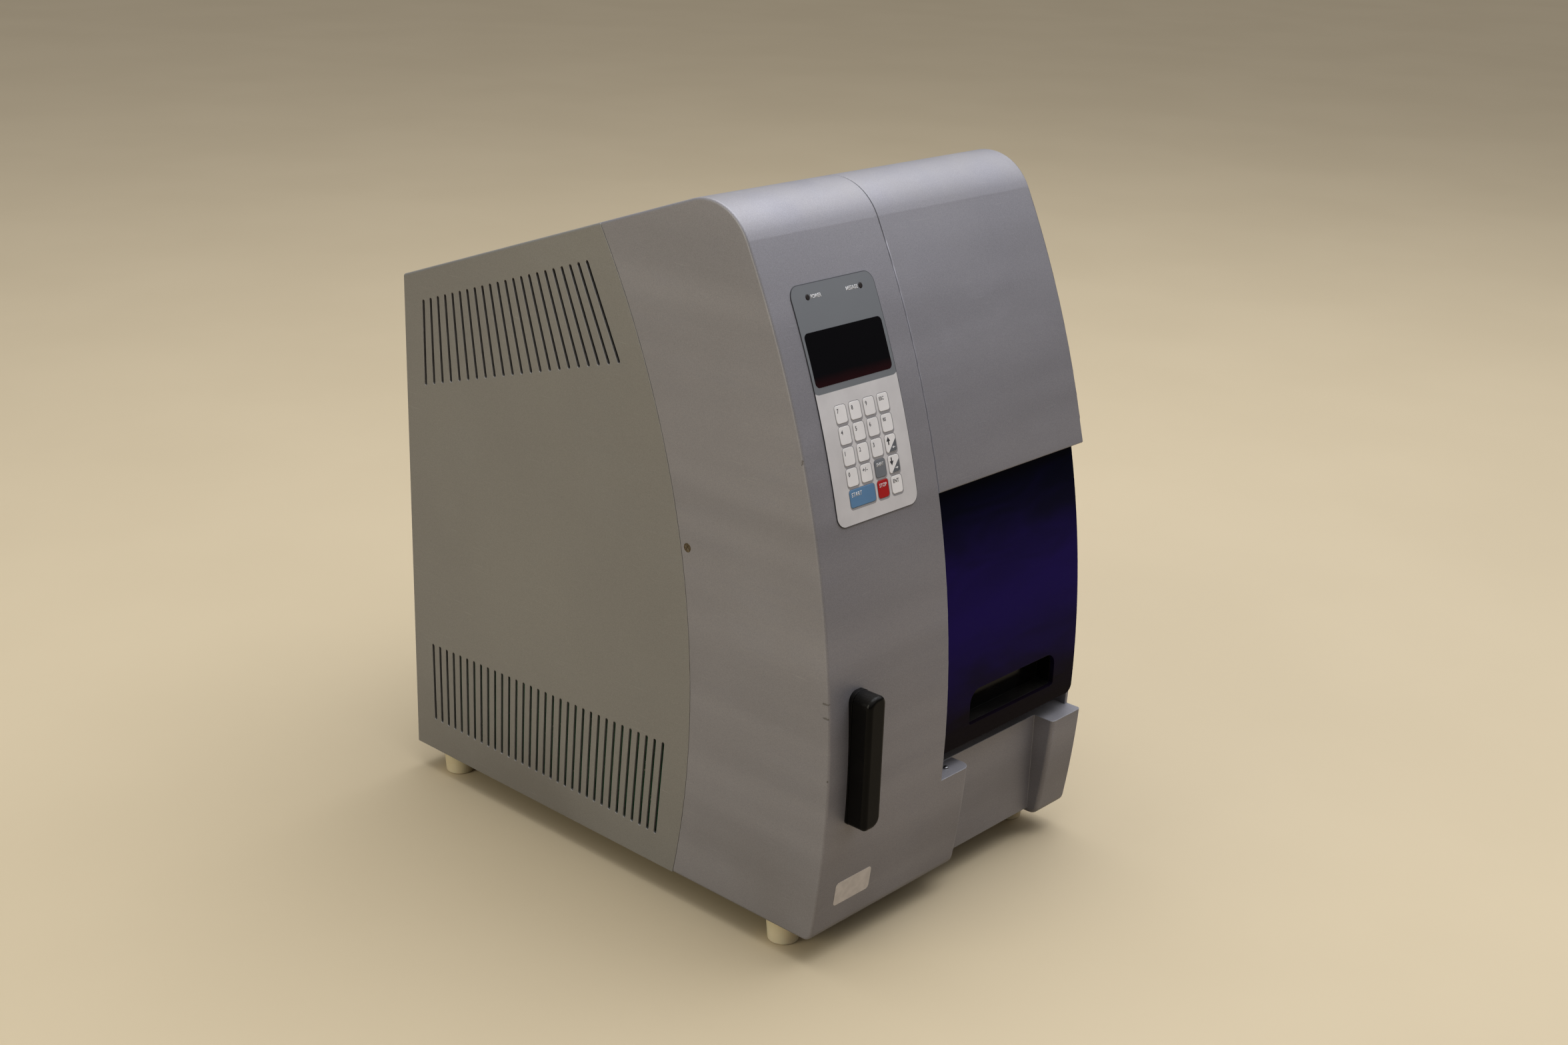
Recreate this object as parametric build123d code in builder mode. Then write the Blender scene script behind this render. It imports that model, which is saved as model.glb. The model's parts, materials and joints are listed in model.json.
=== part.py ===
from build123d import *

import os
from math import asin, atan2, cos, degrees, hypot, radians, sin, sqrt, tan

# Benchtop nucleic acid extractor: a tower with a keypad on the left, a curved door that slides up
# behind a hood on the right, and a vented rear cover on four feet.
#
# Case coordinates, in millimetres: x from the left side, y back from the foremost line of the
# front, z up from the bottom edge of the cabinet. DATUM is their zero in the part's own frame,
# whose origin is under the middle of the whole instrument, on the surface that it stands on.

# ---- cabinet ----
WIDTH = 320.0
CASE_DEPTH = 473.4
REAR_HEIGHT = 418.5
TOP_SLOPE = 19.0  # the top falls towards the rear, degrees
FRONT_R = 817.0  # the side profile's long front arc
ARC_Z = 133.0  # height of the arc's centre
TOP_R = 44.0  # front top corner
TOE_R = 9.0  # front bottom corner
WALL = 3.0  # moulded front covers
SHEET = 2.0  # folded sheet parts
EDGE_R = 2.0  # soft outer edges of the mouldings
BLOCK_EDGE_R = 3.5
LINE_R = 0.8  # edges beside a parting line
GAP = 0.5  # open parting lines
CUT = 5.0  # how far a cutting form runs past what it cuts

# ---- feet and what stands proud ----
FOOT_HEIGHT = 22.0
FOOT_TOP_R = 14.0
FOOT_TIP_R = 12.0
FOOT_X = 19.0
FOOT_ROWS = (54.0, 440.0)
FOOT_EDGE_R = 1.5
COVER_PROUD = 18.0  # card slot cover, in front
INLET_PROUD = 3.0  # power inlet's flange, behind
OVERALL_DEPTH = COVER_PROUD + CASE_DEPTH + INLET_PROUD

# ---- front parting lines ----
TOWER_WIDTH = 135.4
HOOD_Z = 316.4
LEDGE_X = 172.0
LEDGE_Z = 89.2
LEDGE_R = 8.0
SILL_Y = 20.0
SILL_LOW = 4.5
SILL_HIGH = 90.0
SILL_LIP = 20.0
BLOCK_X = 281.0
BLOCK_BACK = 30.0
PAN_FRONT = BLOCK_BACK
PAN_LIP = 14.0
CHEEK_INSET = 14.0  # the right cheek's front edge lies this far behind the arc

# ---- side parting line between the front covers and the rear cover ----
SEAM_R = 675.0
SEAM_Y = 139.0
SEAM_Z = 145.0

# ---- vents in the rear cover: (count, tops from, tops to, bottoms from, bottoms to) ----
VENT_WIDTH = 3.0
VENT_ROWS = (
    (22, (448.8, 401.8), (254.2, 468.6), (448.7, 330.2), (218.6, 398.0)),
    (32, (448.9, 99.9), (167.4, 107.8), (448.1, 28.8), (175.4, 26.1)),
)

# ---- housing screws ----
SCREW_Y = 145.0
SCREW_Z = 274.0
SCREW_HEAD_R = 3.6
SCREW_SHANK_R = 1.7
SCREW_HEAD = 2.0
SCREW_LENGTH = 9.0
SCREW_RECESS = 0.4
SCREW_CROSS = (5.4, 0.9)
SCREW_TURN = 35.0
SCREW_SIDES = ((0.0, 1), (WIDTH, -1))  # a cheek and the way into it

# ---- door, a band that turns about the front arc's centre ----
DOOR_INSET = 9.0
DOOR_THICK = 4.0
DOOR_LOW = 104.0
DOOR_TOP = 340.0
DOOR_LEFT = TOWER_WIDTH + 0.8
DOOR_RIGHT = 315.0
DOOR_CORNER_R = 7.0
PULL_X = (176.0, 287.0)
PULL_Z = (119.0, 148.0)
PULL_TOP_R = 11.0
PULL_LOW_R = 3.5
PULL_DEPTH = 15.0
PULL_WALL = 2.0
PULL_REACH = 60.0  # a straight form this deep passes the pull
RAIL_INSET = (16.0, 22.0)
RAIL_WIDTH = 6.0
RAIL_Z = (140.0, 480.0)
SHOE_CLEAR = 0.3
SHOE_INSET = 26.0
SHOE_WIDTH = 13.0
SHOE_Z = ((156.0, 180.0), (300.0, 324.0))
SHOE_FROM_RAIL = 1.6

# ---- card slot and its cover ----
CARD_COVER_X = (21.3, 39.5)
CARD_COVER_Z = (94.0, 199.0)
CARD_COVER_WALL = 2.0
CARD_COVER_CORNERS = (4.0, 9.0, 8.5, 7.0)  # lower left, lower right, upper left, upper right
CARD_COVER_EDGE_R = 3.5
KNUCKLE_CLEAR = 0.3
CARD_COVER_CLEAR = 0.2
KNUCKLE_R = 3.4
KNUCKLE_HEIGHT = 3.0
KNUCKLE_INSET = 5.6  # from each end of the cover
PIVOT_X = CARD_COVER_X[1] - KNUCKLE_R
PIVOT_Z = (97.6, 196.2)
PIVOT_R = 1.2
PIVOT_BORE_R = 1.25
BEZEL_PROUD = 1.0
PIVOT_Y = -BEZEL_PROUD - KNUCKLE_CLEAR - KNUCKLE_R
BEZEL_X = (21.0, 40.0)
PLUG_X = (24.0, 37.0)  # the part of the bezel that goes through the tower's wall
PLUG_Z = (101.0, 192.0)
PLUG_BACK = 8.0
CARD = (0.8, 54.0, 85.6)  # thickness, length, height
CARD_X = 31.5
CARD_OUT = 11.0
CARD_SLIT = 1.8
CARD_ROOM = 0.7  # above and below the card
CARD_R = 3.0
READER_X = (20.0, 44.0)
READER_Y = (PLUG_BACK, 62.0)
READER_Z = (97.0, 196.0)
READER_STOP = 52.0

# ---- control panel on the tower ----
PANEL_X = (23.0, 110.8)
PANEL_Z = (316.0, 478.0)
PANEL_R = 8.5
PANEL_THICK = 0.6
PANEL_REACH = 90.0  # a straight cut this deep passes the whole panel
WINDOW_X = (25.7, 107.5)
WINDOW_Z = (410.0, 448.4)
WINDOW_R = 4.0
WINDOW_THICK = 0.4
WINDOW_SUNK = 0.1
WINDOW_PLUG = 3.0
WINDOW_STEP = 3.0  # the plug is smaller all round
LED_X = (39.5, 95.3)
LED_Z = 469.0
LED_R = 2.2
LED_LENGTH = 8.0
LED_DOME_R = 0.6
LENS_PROUD = 0.3
LENS_CLEAR = 0.1
KEY_WIDTH = 11.6
KEY_HEIGHT = 12.8
KEY_R = 2.2
KEY_PROUD = 0.8
KEY_DEEP = 4.0
KEY_CLEAR = 0.2
KEY_EDGE_R = 0.3
KEY_FIRST_X = 44.6
KEY_TOP_Z = 391.0
KEY_PITCH_X = 15.1
KEY_PITCH_Z = 14.35
START_WIDTH = 27.0
KEY_OPENING_X = (33.0, 102.0)
KEY_OPENING_Z = (323.0, 402.0)
KEY_ROWS = (
    ("7", "8", "9", "escape"),
    ("4", "5", "6", "back"),
    ("1", "2", "3", "up"),
    ("0", "sign", "shift", "down"),
    ("start", None, "stop", "enter"),
)
BOARD_INSET = 8.5
BOARD_THICK = 1.6
BOARD_SIZE = (80.0, 152.0)
BOARD_DROP = 1.5
PILLAR_R = 2.5
PILLAR_LENGTH = 6.0
PILLAR_Z = (PANEL_Z[0] + 4.0, PANEL_Z[1] - 12.0)
PILLAR_IN = 7.0
DISPLAY_SIZE = (76.0, 26.0)
DISPLAY_DEEP = 5.0

# ---- work chamber and deck ----
CHAMBER_LEFT = TOWER_WIDTH
CHAMBER_RIGHT = WIDTH - WALL
CHAMBER_MID = (CHAMBER_LEFT + CHAMBER_RIGHT) / 2
CHAMBER_BACK = 262.0
LINER_LEFT = CHAMBER_LEFT - WALL - 3.0
LINER_FRONT = 120.0
LINER_TOP = 440.0
DECK_X = (138.0, 314.0)
DECK_Y = (46.0, 254.0)
DECK_Z = (66.0, 74.0)
DECK_LEG = 2.0
CHANNELS = 6
PITCH = 22.0
CHANNEL_X = [CHAMBER_MID + (i - (CHANNELS - 1) / 2) * PITCH for i in range(CHANNELS)]

# ---- racks: heights are above the underside that stands on the deck ----
RACK_Z = DECK_Z[1] + 0.3
RACK_X = (CHAMBER_MID - 76.0, CHAMBER_MID + 76.0)
RACK_BASE = 4.0
RACK_FRONT_Y = (106.0, 110.0)
RACK_FRONT_HEIGHT = 46.0
RACK_REAR_Y = (238.0, 240.0)
RACK_REAR_HEIGHT = 30.0
RIB = 3.0
RIB_HEIGHT = 40.0
CARTRIDGE_WIDTH = 18.0
CARTRIDGE_Y = (111.0, 237.0)
CARTRIDGE_HEIGHT = 52.0
CARTRIDGE_RIM = (0.5, 1.0)  # overhang, thickness
CARTRIDGE_R = 0.4
TIP_RACK_Y = (52.0, 98.0)
TIP_RACK_HEIGHT = 42.0
TIP_RACK_R = 3.0
TIP_ROWS = (64.0, 86.0)
TIP_BORE_R = 4.5
TIP_END_R = 1.5
TIP_LOW = 8.0
TIP_COLLAR_R = 6.0
TIP_COLLAR = 12.0

# ---- slides that carry the pump head; x is given for the left side ----
Y_RAIL_PLATE = ((136.0, 139.0), (385.0, 440.0))  # x, z
Y_RAIL_BAR = ((139.0, 147.0), (400.0, 408.0))
Y_RAIL_FRONT = 118.0
CARRIAGE_Y = (204.0, 246.0)
CARRIAGE_WEB = ((147.3, 153.0), (392.0, 416.0))  # x, z
CARRIAGE_PRONG_X = (140.0, 148.0)
CARRIAGE_PRONGS = ((395.7, 399.7), (408.3, 412.3))
CARRIAGE_PLATE = 8.0
BRACKET_X = (165.0, 2 * CHAMBER_MID - 165.0)
UPPER_BRACKET = (212.0, 462.0)  # front, underside
LOWER_BRACKET = (214.0, 252.0)  # front, top
GUIDE_X = (180.0, 272.4)
GUIDE_Y = 222.0
GUIDE_R = 5.0
GUIDE_BORE_R = 5.05
SCREW_ROD_R = 4.0
SCREW_BORE_R = 4.5
GUIDE_Z = (246.0, 470.0)

# ---- pump head ----
HEAD_X = (CHAMBER_MID - 72.2, CHAMBER_MID + 72.2)
HEAD_Y = (158.0, 208.0)
HEAD_Z = (330.0, 430.0)
HEAD_PLATE = 8.0
GUIDE_BLOCK_Y = (HEAD_Y[1], 234.0)
GUIDE_BLOCK_Z = (400.0, 450.0)
PUMP_Y = 180.0
BARREL_R = 7.0
BARREL_BORE_R = 5.6
BARREL_Z = (342.0, 420.0)
BARREL_FLOOR = 2.0
NECK_R = 4.0
NOZZLE_R = 2.5
NOZZLE_BORE_R = 1.0
NOZZLE_LOW = 268.0
PISTON_R = 5.5
PISTON_Z = (346.0, 354.0)
PLUNGER_R = 2.5
PLUNGER_BORE_R = 3.0
PLUNGER_PLATE_X = (158.0, 2 * CHAMBER_MID - 158.0)
PLUNGER_PLATE_Y = (172.0, 204.0)
PLUNGER_PLATE_Z = (466.0, 474.0)
PLUNGER_SCREW_Y = 196.0
PLUNGER_SCREW_R = 2.0
PLUNGER_SCREW_BORE_R = 2.4
PLUNGER_SCREW_LOW = 400.0
LIFT_MOTOR = (14.0, (HEAD_Y[1], 236.0), (366.0, 400.0))  # half width, y, z
PLUNGER_MOTOR = (10.0, (186.0, 206.0), (HEAD_Z[1], 458.0))
MAGNET_X = (156.0, 2 * CHAMBER_MID - 156.0)
MAGNET_Y = (202.0, 210.0)
MAGNET_Z = 294.0
MAGNET_HALF = 6.0
MAGNET_R = 4.0
MAGNET_REACH = 196.0
MAGNET_LUG = ((158.0, 166.0), (172.0, 184.0), 286.0)  # x on the left side, y, underside
MAGNET_PIN_FRONT = 168.0
MAGNET_PIN_R = 2.5
MAGNET_BORE_R = 2.55

# ---- rear bay ----
FAN_X = 242.0
FAN_Z = 336.0
FAN_SIZE = 92.0
FAN_CORNER_R = 4.0
FAN_Y = (446.4, CASE_DEPTH - SHEET)
FAN_BORE_R = 43.0
FAN_HUB_R = 15.0
FAN_HUB_Y = (449.0, 465.0)
FAN_CUP = (16.0, 466.4)  # radius, front
FAN_ARM = (5.0, 467.4)  # width, front
FAN_BLADES = 7
FAN_BLADE = (20.0, 1.6, 28.0)  # chord, thickness, length
FAN_BLADE_MID = 27.0  # distance of its middle from the shaft
FAN_BLADE_TWIST = 35.0
FAN_SHAFT_R = 2.0
FAN_SHAFT_BORE_R = 2.05
FAN_SHAFT_END = 471.0
GRILLE_WIDTH = 3.6
GRILLE_PITCH = 6.4
GRILLE_ROWS = 6  # slots above and below the middle one
GRILLE_RIM = 2.0
INLET_X = (30.0, 80.0)
INLET_MID = (INLET_X[0] + INLET_X[1]) / 2
INLET_Z = (40.0, 112.0)
INLET_FRONT = 440.0
INLET_FLANGE = 4.0
INLET_R = 3.0
SOCKET_X = (INLET_MID - 13.5, INLET_MID + 13.5)
SOCKET_Z = (44.0, 64.0)
SOCKET_FRONT = 458.0
PRONG = (1.0, 2.0, 472.0)  # half width, half height, end
PRONGS = ((INLET_MID - 7.0, 52.5), (INLET_MID, 55.5), (INLET_MID + 7.0, 52.5))
SWITCH_X = (46.0, 64.0)
SWITCH_PIVOT = (470.2, 94.0)
SWITCH_TILT = 8.0
SWITCH_WELL = (12.0, 460.0)  # half height, front
SWITCH_CLEAR = 0.5
SWITCH_PIN_R = 1.5
SWITCH_BORE_R = 1.55
ROCKER = ((-5.5, -8.0), (4.6, -10.4), (2.6, 0.0), (4.6, 10.4), (-5.5, 8.0))
SUPPLY = ((90.0, 190.0), (300.0, 440.0), (SHEET, 62.0))
SUPPLY_R = 2.0
CARRIER_X = (14.0, 34.0)
CARRIER_Y = (170.0, 430.0)
CARRIER_TOP = 320.0
CHIP_THICK = 6.0
CHIPS = ((200.0, 260.0, 34.0), (280.0, 200.0, 26.0), (350.0, 90.0, 40.0), (230.0, 120.0, 22.0))
CAPACITOR_R = 9.0
CAPACITOR_LENGTH = 20.0
CAPACITOR_Y = (320.0, 345.0, 370.0)
CAPACITOR_Z = 270.0

DATUM = Vector(-WIDTH / 2, -OVERALL_DEPTH / 2 + COVER_PROUD, FOOT_HEIGHT)


# ---- datum planes: their local coordinates are case coordinates ----
def side_plane(x):
    """Looks along +X: local (y, z)."""
    return Plane(origin=DATUM + Vector(x, 0, 0), x_dir=(0, 1, 0), z_dir=(1, 0, 0))


def front_plane(y):
    """Faces the user: local (x, z), and a positive extrusion comes forward."""
    return Plane(origin=DATUM + Vector(0, y, 0), x_dir=(1, 0, 0), z_dir=(0, -1, 0))


def level_plane(z):
    """Faces up: local (x, y)."""
    return Plane(origin=DATUM + Vector(0, 0, z), x_dir=(1, 0, 0), z_dir=(0, 0, 1))


def tangent_plane(z, inset=0.0):
    """Lies on the front arc at a height: local x is case x, local y runs up the face."""
    lean = asin((z - ARC_Z) / FRONT_R)
    radius = FRONT_R - inset
    origin = DATUM + Vector(0, FRONT_R - radius * cos(lean), ARC_Z + radius * sin(lean))
    return Plane(origin=origin, x_dir=(1, 0, 0), z_dir=(0, -cos(lean), sin(lean)))


# ---- shared geometry ----
def arc_y(z, inset=0.0):
    """How far back the front arc, moved inwards by inset, lies at a height."""
    return FRONT_R - sqrt((FRONT_R - inset) ** 2 - (z - ARC_Z) ** 2)


def top_corner(inset=0.0):
    """Where the front arc meets the sloping top, both moved inwards by inset."""
    slope = radians(TOP_SLOPE)
    rear = (CASE_DEPTH - FRONT_R, REAR_HEIGHT - inset / cos(slope) - ARC_Z)
    half = rear[1] * sin(slope) - rear[0] * cos(slope)
    run = -half + sqrt(half**2 - rear[0] ** 2 - rear[1] ** 2 + (FRONT_R - inset) ** 2)
    return (CASE_DEPTH - run * cos(slope), ARC_Z + rear[1] + run * sin(slope))


def case_profile(inset=0.0, floor=0.0, back=0.0):
    """Side profile of the cabinet, moved inwards by inset, its bottom at floor."""
    toe = (arc_y(floor, inset), floor)
    corner = top_corner(inset)
    knee_z = (floor + corner[1]) / 2
    rear_z = REAR_HEIGHT - inset / cos(radians(TOP_SLOPE)) - back * tan(radians(TOP_SLOPE))
    rear = CASE_DEPTH + back
    with BuildSketch() as profile:
        with BuildLine():
            ThreePointArc(toe, (arc_y(knee_z, inset), knee_z), corner)
            Polyline(corner, (rear, rear_z), (rear, floor), toe)
        make_face()
        fillet(profile.vertices().sort_by(Axis.Y)[-1], TOP_R - inset)
        if not inset:
            fillet(profile.vertices().group_by(Axis.Y)[0].sort_by(Axis.X)[0], TOE_R)
    return profile.sketch


def arc_band(near, far, low, high):
    """Face between two insets from the front arc, from one height to another."""

    def point(inset, z):
        lean = asin((z - ARC_Z) / FRONT_R)
        radius = FRONT_R - inset
        return (FRONT_R - radius * cos(lean), ARC_Z + radius * sin(lean))

    middle = (low + high) / 2
    with BuildSketch() as band:
        with BuildLine():
            ThreePointArc(point(near, low), point(near, middle), point(near, high))
            Line(point(near, high), point(far, high))
            ThreePointArc(point(far, high), point(far, middle), point(far, low))
            Line(point(far, low), point(near, low))
        make_face()
    return band.sketch


def span(x, y, mode=Mode.ADD):
    """Rectangle between low and high limits of a sketch's own axes."""
    with Locations(((x[0] + x[1]) / 2, (y[0] + y[1]) / 2)):
        Rectangle(x[1] - x[0], y[1] - y[0], mode=mode)


def slab(x, y, z, mode=Mode.ADD):
    """Block between low and high limits in case coordinates."""
    centre = DATUM + Vector((x[0] + x[1]) / 2, (y[0] + y[1]) / 2, (z[0] + z[1]) / 2)
    with Locations(centre):
        Box(x[1] - x[0], y[1] - y[0], z[1] - z[0], mode=mode)


def round_corners(face, x, y, radii):
    """Rounds a rectangle's corners: lower left, lower right, upper left, upper right."""
    corners = [Vector(corner_x, corner_y) for corner_y in y for corner_x in x]
    for corner, radius in zip(corners, radii):
        fillet(face.vertices().sort_by_distance(corner)[0], radius)


def post(x, y, z, radius, mode=Mode.ADD):
    """Upright cylinder at x and y between low and high z."""
    with Locations(DATUM + Vector(x, y, (z[0] + z[1]) / 2)):
        Cylinder(radius, z[1] - z[0], mode=mode)


def pin(x, y, z, radius, mode=Mode.ADD):
    """Cylinder along the depth, between low and high y."""
    with Locations(Location(DATUM + Vector(x, (y[0] + y[1]) / 2, z), (90, 0, 0))):
        Cylinder(radius, y[1] - y[0], mode=mode)


def cross_pin(x, y, z, radius, mode=Mode.ADD):
    """Cylinder along the width, between low and high x."""
    with Locations(Location(DATUM + Vector((x[0] + x[1]) / 2, y, z), (0, 90, 0))):
        Cylinder(radius, x[1] - x[0], mode=mode)


def mirrored(x):
    """Low and high x limits, mirrored about the middle of the chamber."""
    return (2 * CHAMBER_MID - x[1], 2 * CHAMBER_MID - x[0])


def at_x(edges, x):
    """The edges that lie at one x."""
    low = DATUM.X + x - 0.01
    return edges.filter_by_position(Axis.X, low, low + 0.02)


def front_edges(edges, x, low=0.0):
    """The edges at one x that follow the front arc and the top, above a height."""
    found = at_x(edges, x)
    seam = found.filter_by(lambda e: e.geom_type == GeomType.CIRCLE and abs(e.radius - SEAM_R) < 2)
    level = found.filter_by(Axis.Y)
    upright = found.filter_by(Axis.Z)
    return [
        e
        for e in found
        if e not in seam + level + upright and e.center().Z > DATUM.Z + low
    ]


# ---- countersunk screws on the two cheeks ----
with BuildPart() as screw_blanks:
    for face_x, inward in SCREW_SIDES:
        head_x = face_x + inward * SCREW_HEAD / 2
        shank_x = face_x + inward * (SCREW_HEAD + SCREW_LENGTH) / 2
        with Locations(Location(DATUM + Vector(head_x, SCREW_Y, SCREW_Z), (0, inward * 90, 0))):
            Cone(SCREW_HEAD_R, SCREW_SHANK_R, SCREW_HEAD)
        with Locations(Location(DATUM + Vector(shank_x, SCREW_Y, SCREW_Z), (0, inward * 90, 0))):
            Cylinder(SCREW_SHANK_R, SCREW_LENGTH - SCREW_HEAD)

with BuildPart() as housing_screws:
    add(screw_blanks.part)
    for face_x, inward in SCREW_SIDES:
        with BuildSketch(side_plane(face_x)):
            with Locations((SCREW_Y, SCREW_Z)):
                SlotOverall(*SCREW_CROSS, rotation=SCREW_TURN)
                SlotOverall(*SCREW_CROSS, rotation=SCREW_TURN + 90)
        extrude(amount=inward * SCREW_RECESS, mode=Mode.SUBTRACT)
housing_screws.part.label = "housing_screws"

# ---- tower moulding: left cheek, tower front, top band and the widened foot with its ledge ----
with BuildPart() as tower_foot:
    with BuildSketch(side_plane(TOWER_WIDTH)):
        add(case_profile())
        span((-CUT, SILL_Y), (-CUT, LEDGE_Z), mode=Mode.INTERSECT)
    extrude(amount=LEDGE_X - TOWER_WIDTH)
    right = at_x(tower_foot.edges(), LEDGE_X)
    fillet(right.filter_by(Axis.Y).sort_by(Axis.Z)[0], LEDGE_R)

with BuildPart() as tower_housing:
    with BuildSketch(side_plane(0)):
        add(case_profile())
        with Locations((SEAM_Y + SEAM_R, SEAM_Z)):
            Circle(SEAM_R, mode=Mode.SUBTRACT)
    extrude(amount=TOWER_WIDTH)
    fillet(front_edges(tower_housing.edges(), 0), EDGE_R)
    add(tower_foot.part)
    fillet(front_edges(tower_housing.edges(), TOWER_WIDTH, LEDGE_Z + 1), LINE_R)
    with BuildSketch(side_plane(WALL)):
        add(case_profile(WALL, -TOE_R))
    extrude(amount=TOWER_WIDTH - 2 * WALL, mode=Mode.SUBTRACT)
    with BuildSketch(side_plane(TOWER_WIDTH)):
        add(case_profile(WALL, -TOE_R))
        span((-CUT, SILL_Y + CUT), (-TOE_R, LEDGE_Z - WALL), mode=Mode.INTERSECT)
    extrude(amount=LEDGE_X - TOWER_WIDTH - WALL, mode=Mode.SUBTRACT)
    add(screw_blanks.part, mode=Mode.SUBTRACT)
    # the right wall stands on the base pan
    inner_wall = (TOWER_WIDTH - WALL, TOWER_WIDTH)
    slab(inner_wall, (PAN_FRONT, CASE_DEPTH), (-TOE_R, SHEET), mode=Mode.SUBTRACT)
    slab(inner_wall, (PAN_FRONT, PAN_FRONT + SHEET), (-TOE_R, PAN_LIP), mode=Mode.SUBTRACT)
    # card slot bezel's opening
    slab(PLUG_X, (-CUT, PLUG_BACK), PLUG_Z, mode=Mode.SUBTRACT)
    # openings behind the keys, the display window and the two lights
    with BuildSketch(front_plane(0)):
        span(KEY_OPENING_X, KEY_OPENING_Z)
        span((WINDOW_X[0] + 1, WINDOW_X[1] - 1), (WINDOW_Z[0] + 1, WINDOW_Z[1] - 1))
    extrude(amount=-PANEL_REACH, mode=Mode.SUBTRACT)
    with BuildSketch(tangent_plane(LED_Z)):
        with Locations(*[(x, 0) for x in LED_X]):
            Circle(LED_R)
    extrude(amount=-2 * WALL, mode=Mode.SUBTRACT)
tower_housing.part.label = "tower_housing"

# ---- hood over the door, with the right cheek ----
with BuildPart() as hood:
    with BuildSketch(side_plane(TOWER_WIDTH + GAP)):
        add(case_profile())
        span((-CUT, CASE_DEPTH), (HOOD_Z, top_corner()[1] + CUT), mode=Mode.INTERSECT)
        with Locations((SEAM_Y + SEAM_R, SEAM_Z)):
            Circle(SEAM_R, mode=Mode.SUBTRACT)
    extrude(amount=WIDTH - TOWER_WIDTH - GAP)
    fillet(front_edges(hood.edges(), WIDTH), EDGE_R)
    front_lip = hood.edges().filter_by(Axis.X).group_by(Axis.Z)[0].sort_by(Axis.Y)[0]
    fillet(front_edges(hood.edges(), TOWER_WIDTH + GAP) + [front_lip], LINE_R)
    with BuildSketch(side_plane(TOWER_WIDTH + GAP)):
        add(case_profile(WALL, -TOE_R))
    extrude(amount=WIDTH - WALL - TOWER_WIDTH - GAP, mode=Mode.SUBTRACT)
    with BuildSketch(side_plane(WIDTH - WALL)):
        add(case_profile(CHEEK_INSET, 0))
        span((-CUT, CASE_DEPTH), (0, HOOD_Z), mode=Mode.INTERSECT)
        span((-CUT, BLOCK_BACK), (-CUT, SILL_HIGH), mode=Mode.SUBTRACT)
        with Locations((SEAM_Y + SEAM_R, SEAM_Z)):
            Circle(SEAM_R, mode=Mode.SUBTRACT)
    extrude(amount=WALL)
    add(screw_blanks.part, mode=Mode.SUBTRACT)
hood.part.label = "hood"

# ---- recessed sill under the door, with the proud block at its right end ----
with BuildPart() as sill_panel:
    with BuildSketch(side_plane(BLOCK_X)):
        add(case_profile())
        span((-CUT, BLOCK_BACK), (-CUT, SILL_HIGH), mode=Mode.INTERSECT)
    extrude(amount=WIDTH - BLOCK_X)
    face_edges = sill_panel.edges().filter_by(GeomType.CIRCLE)
    fillet(face_edges.filter_by(lambda e: abs(e.radius - FRONT_R) < 1), BLOCK_EDGE_R)
    with BuildSketch(side_plane(BLOCK_X + WALL)):
        add(case_profile(WALL, -TOE_R))
        span((-CUT, BLOCK_BACK + CUT), (-TOE_R, SILL_HIGH - WALL), mode=Mode.INTERSECT)
    extrude(amount=WIDTH - BLOCK_X - 2 * WALL, mode=Mode.SUBTRACT)
    slab((TOWER_WIDTH, BLOCK_X), (SILL_Y, SILL_Y + WALL), (SILL_LOW, SILL_HIGH))
    slab((TOWER_WIDTH, BLOCK_X), (SILL_Y, SILL_Y + SILL_LIP), (SILL_HIGH - WALL, SILL_HIGH))
sill_panel.part.label = "sill_panel"

# ---- rear cover: one folded sheet over both sides and the top, with the vents ----
with BuildPart() as rear_cover:
    with BuildSketch(side_plane(0)):
        add(case_profile())
        with Locations((SEAM_Y + SEAM_R, SEAM_Z)):
            Circle(SEAM_R - GAP, mode=Mode.INTERSECT)
    extrude(amount=WIDTH)
    long_edges = [
        edge
        for x in (0.0, WIDTH)
        for edge in at_x(rear_cover.edges(), x)
        if edge.geom_type == GeomType.LINE and 0.01 < abs(edge.tangent_at(0.5).Z) < 0.9
    ]
    fillet(long_edges, EDGE_R)
    with BuildSketch(side_plane(SHEET)):
        add(case_profile(SHEET, -TOE_R, back=CUT))
    extrude(amount=WIDTH - 2 * SHEET, mode=Mode.SUBTRACT)
    with BuildSketch(side_plane(0)):
        for count, top_from, top_to, low_from, low_to in VENT_ROWS:
            for slot in range(count):
                share = slot / (count - 1)
                top = [a + (b - a) * share for a, b in zip(top_from, top_to)]
                low = [a + (b - a) * share for a, b in zip(low_from, low_to)]
                run, rise = top[0] - low[0], top[1] - low[1]
                with Locations(((top[0] + low[0]) / 2, (top[1] + low[1]) / 2)):
                    SlotOverall(hypot(run, rise), VENT_WIDTH, rotation=degrees(atan2(rise, run)))
    extrude(amount=WIDTH, mode=Mode.SUBTRACT)
rear_cover.part.label = "rear_cover"

# ---- base pan and feet ----
with BuildPart() as base_pan:
    pan_x = (WALL, WIDTH - WALL)
    slab(pan_x, (PAN_FRONT, CASE_DEPTH - SHEET), (0, PAN_LIP))
    slab((pan_x[0] + SHEET, pan_x[1] - SHEET), (PAN_FRONT + SHEET, CASE_DEPTH - 2 * SHEET),
         (SHEET, PAN_LIP), mode=Mode.SUBTRACT)
base_pan.part.label = "base_pan"

with BuildPart() as feet:
    for foot_x in (FOOT_X, WIDTH - FOOT_X):
        for foot_y in FOOT_ROWS:
            with Locations(DATUM + Vector(foot_x, foot_y, -FOOT_HEIGHT / 2)):
                Cone(FOOT_TIP_R, FOOT_TOP_R, FOOT_HEIGHT)
    fillet(feet.edges().group_by(Axis.Z)[0], FOOT_EDGE_R)
feet.part.label = "feet"

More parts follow.
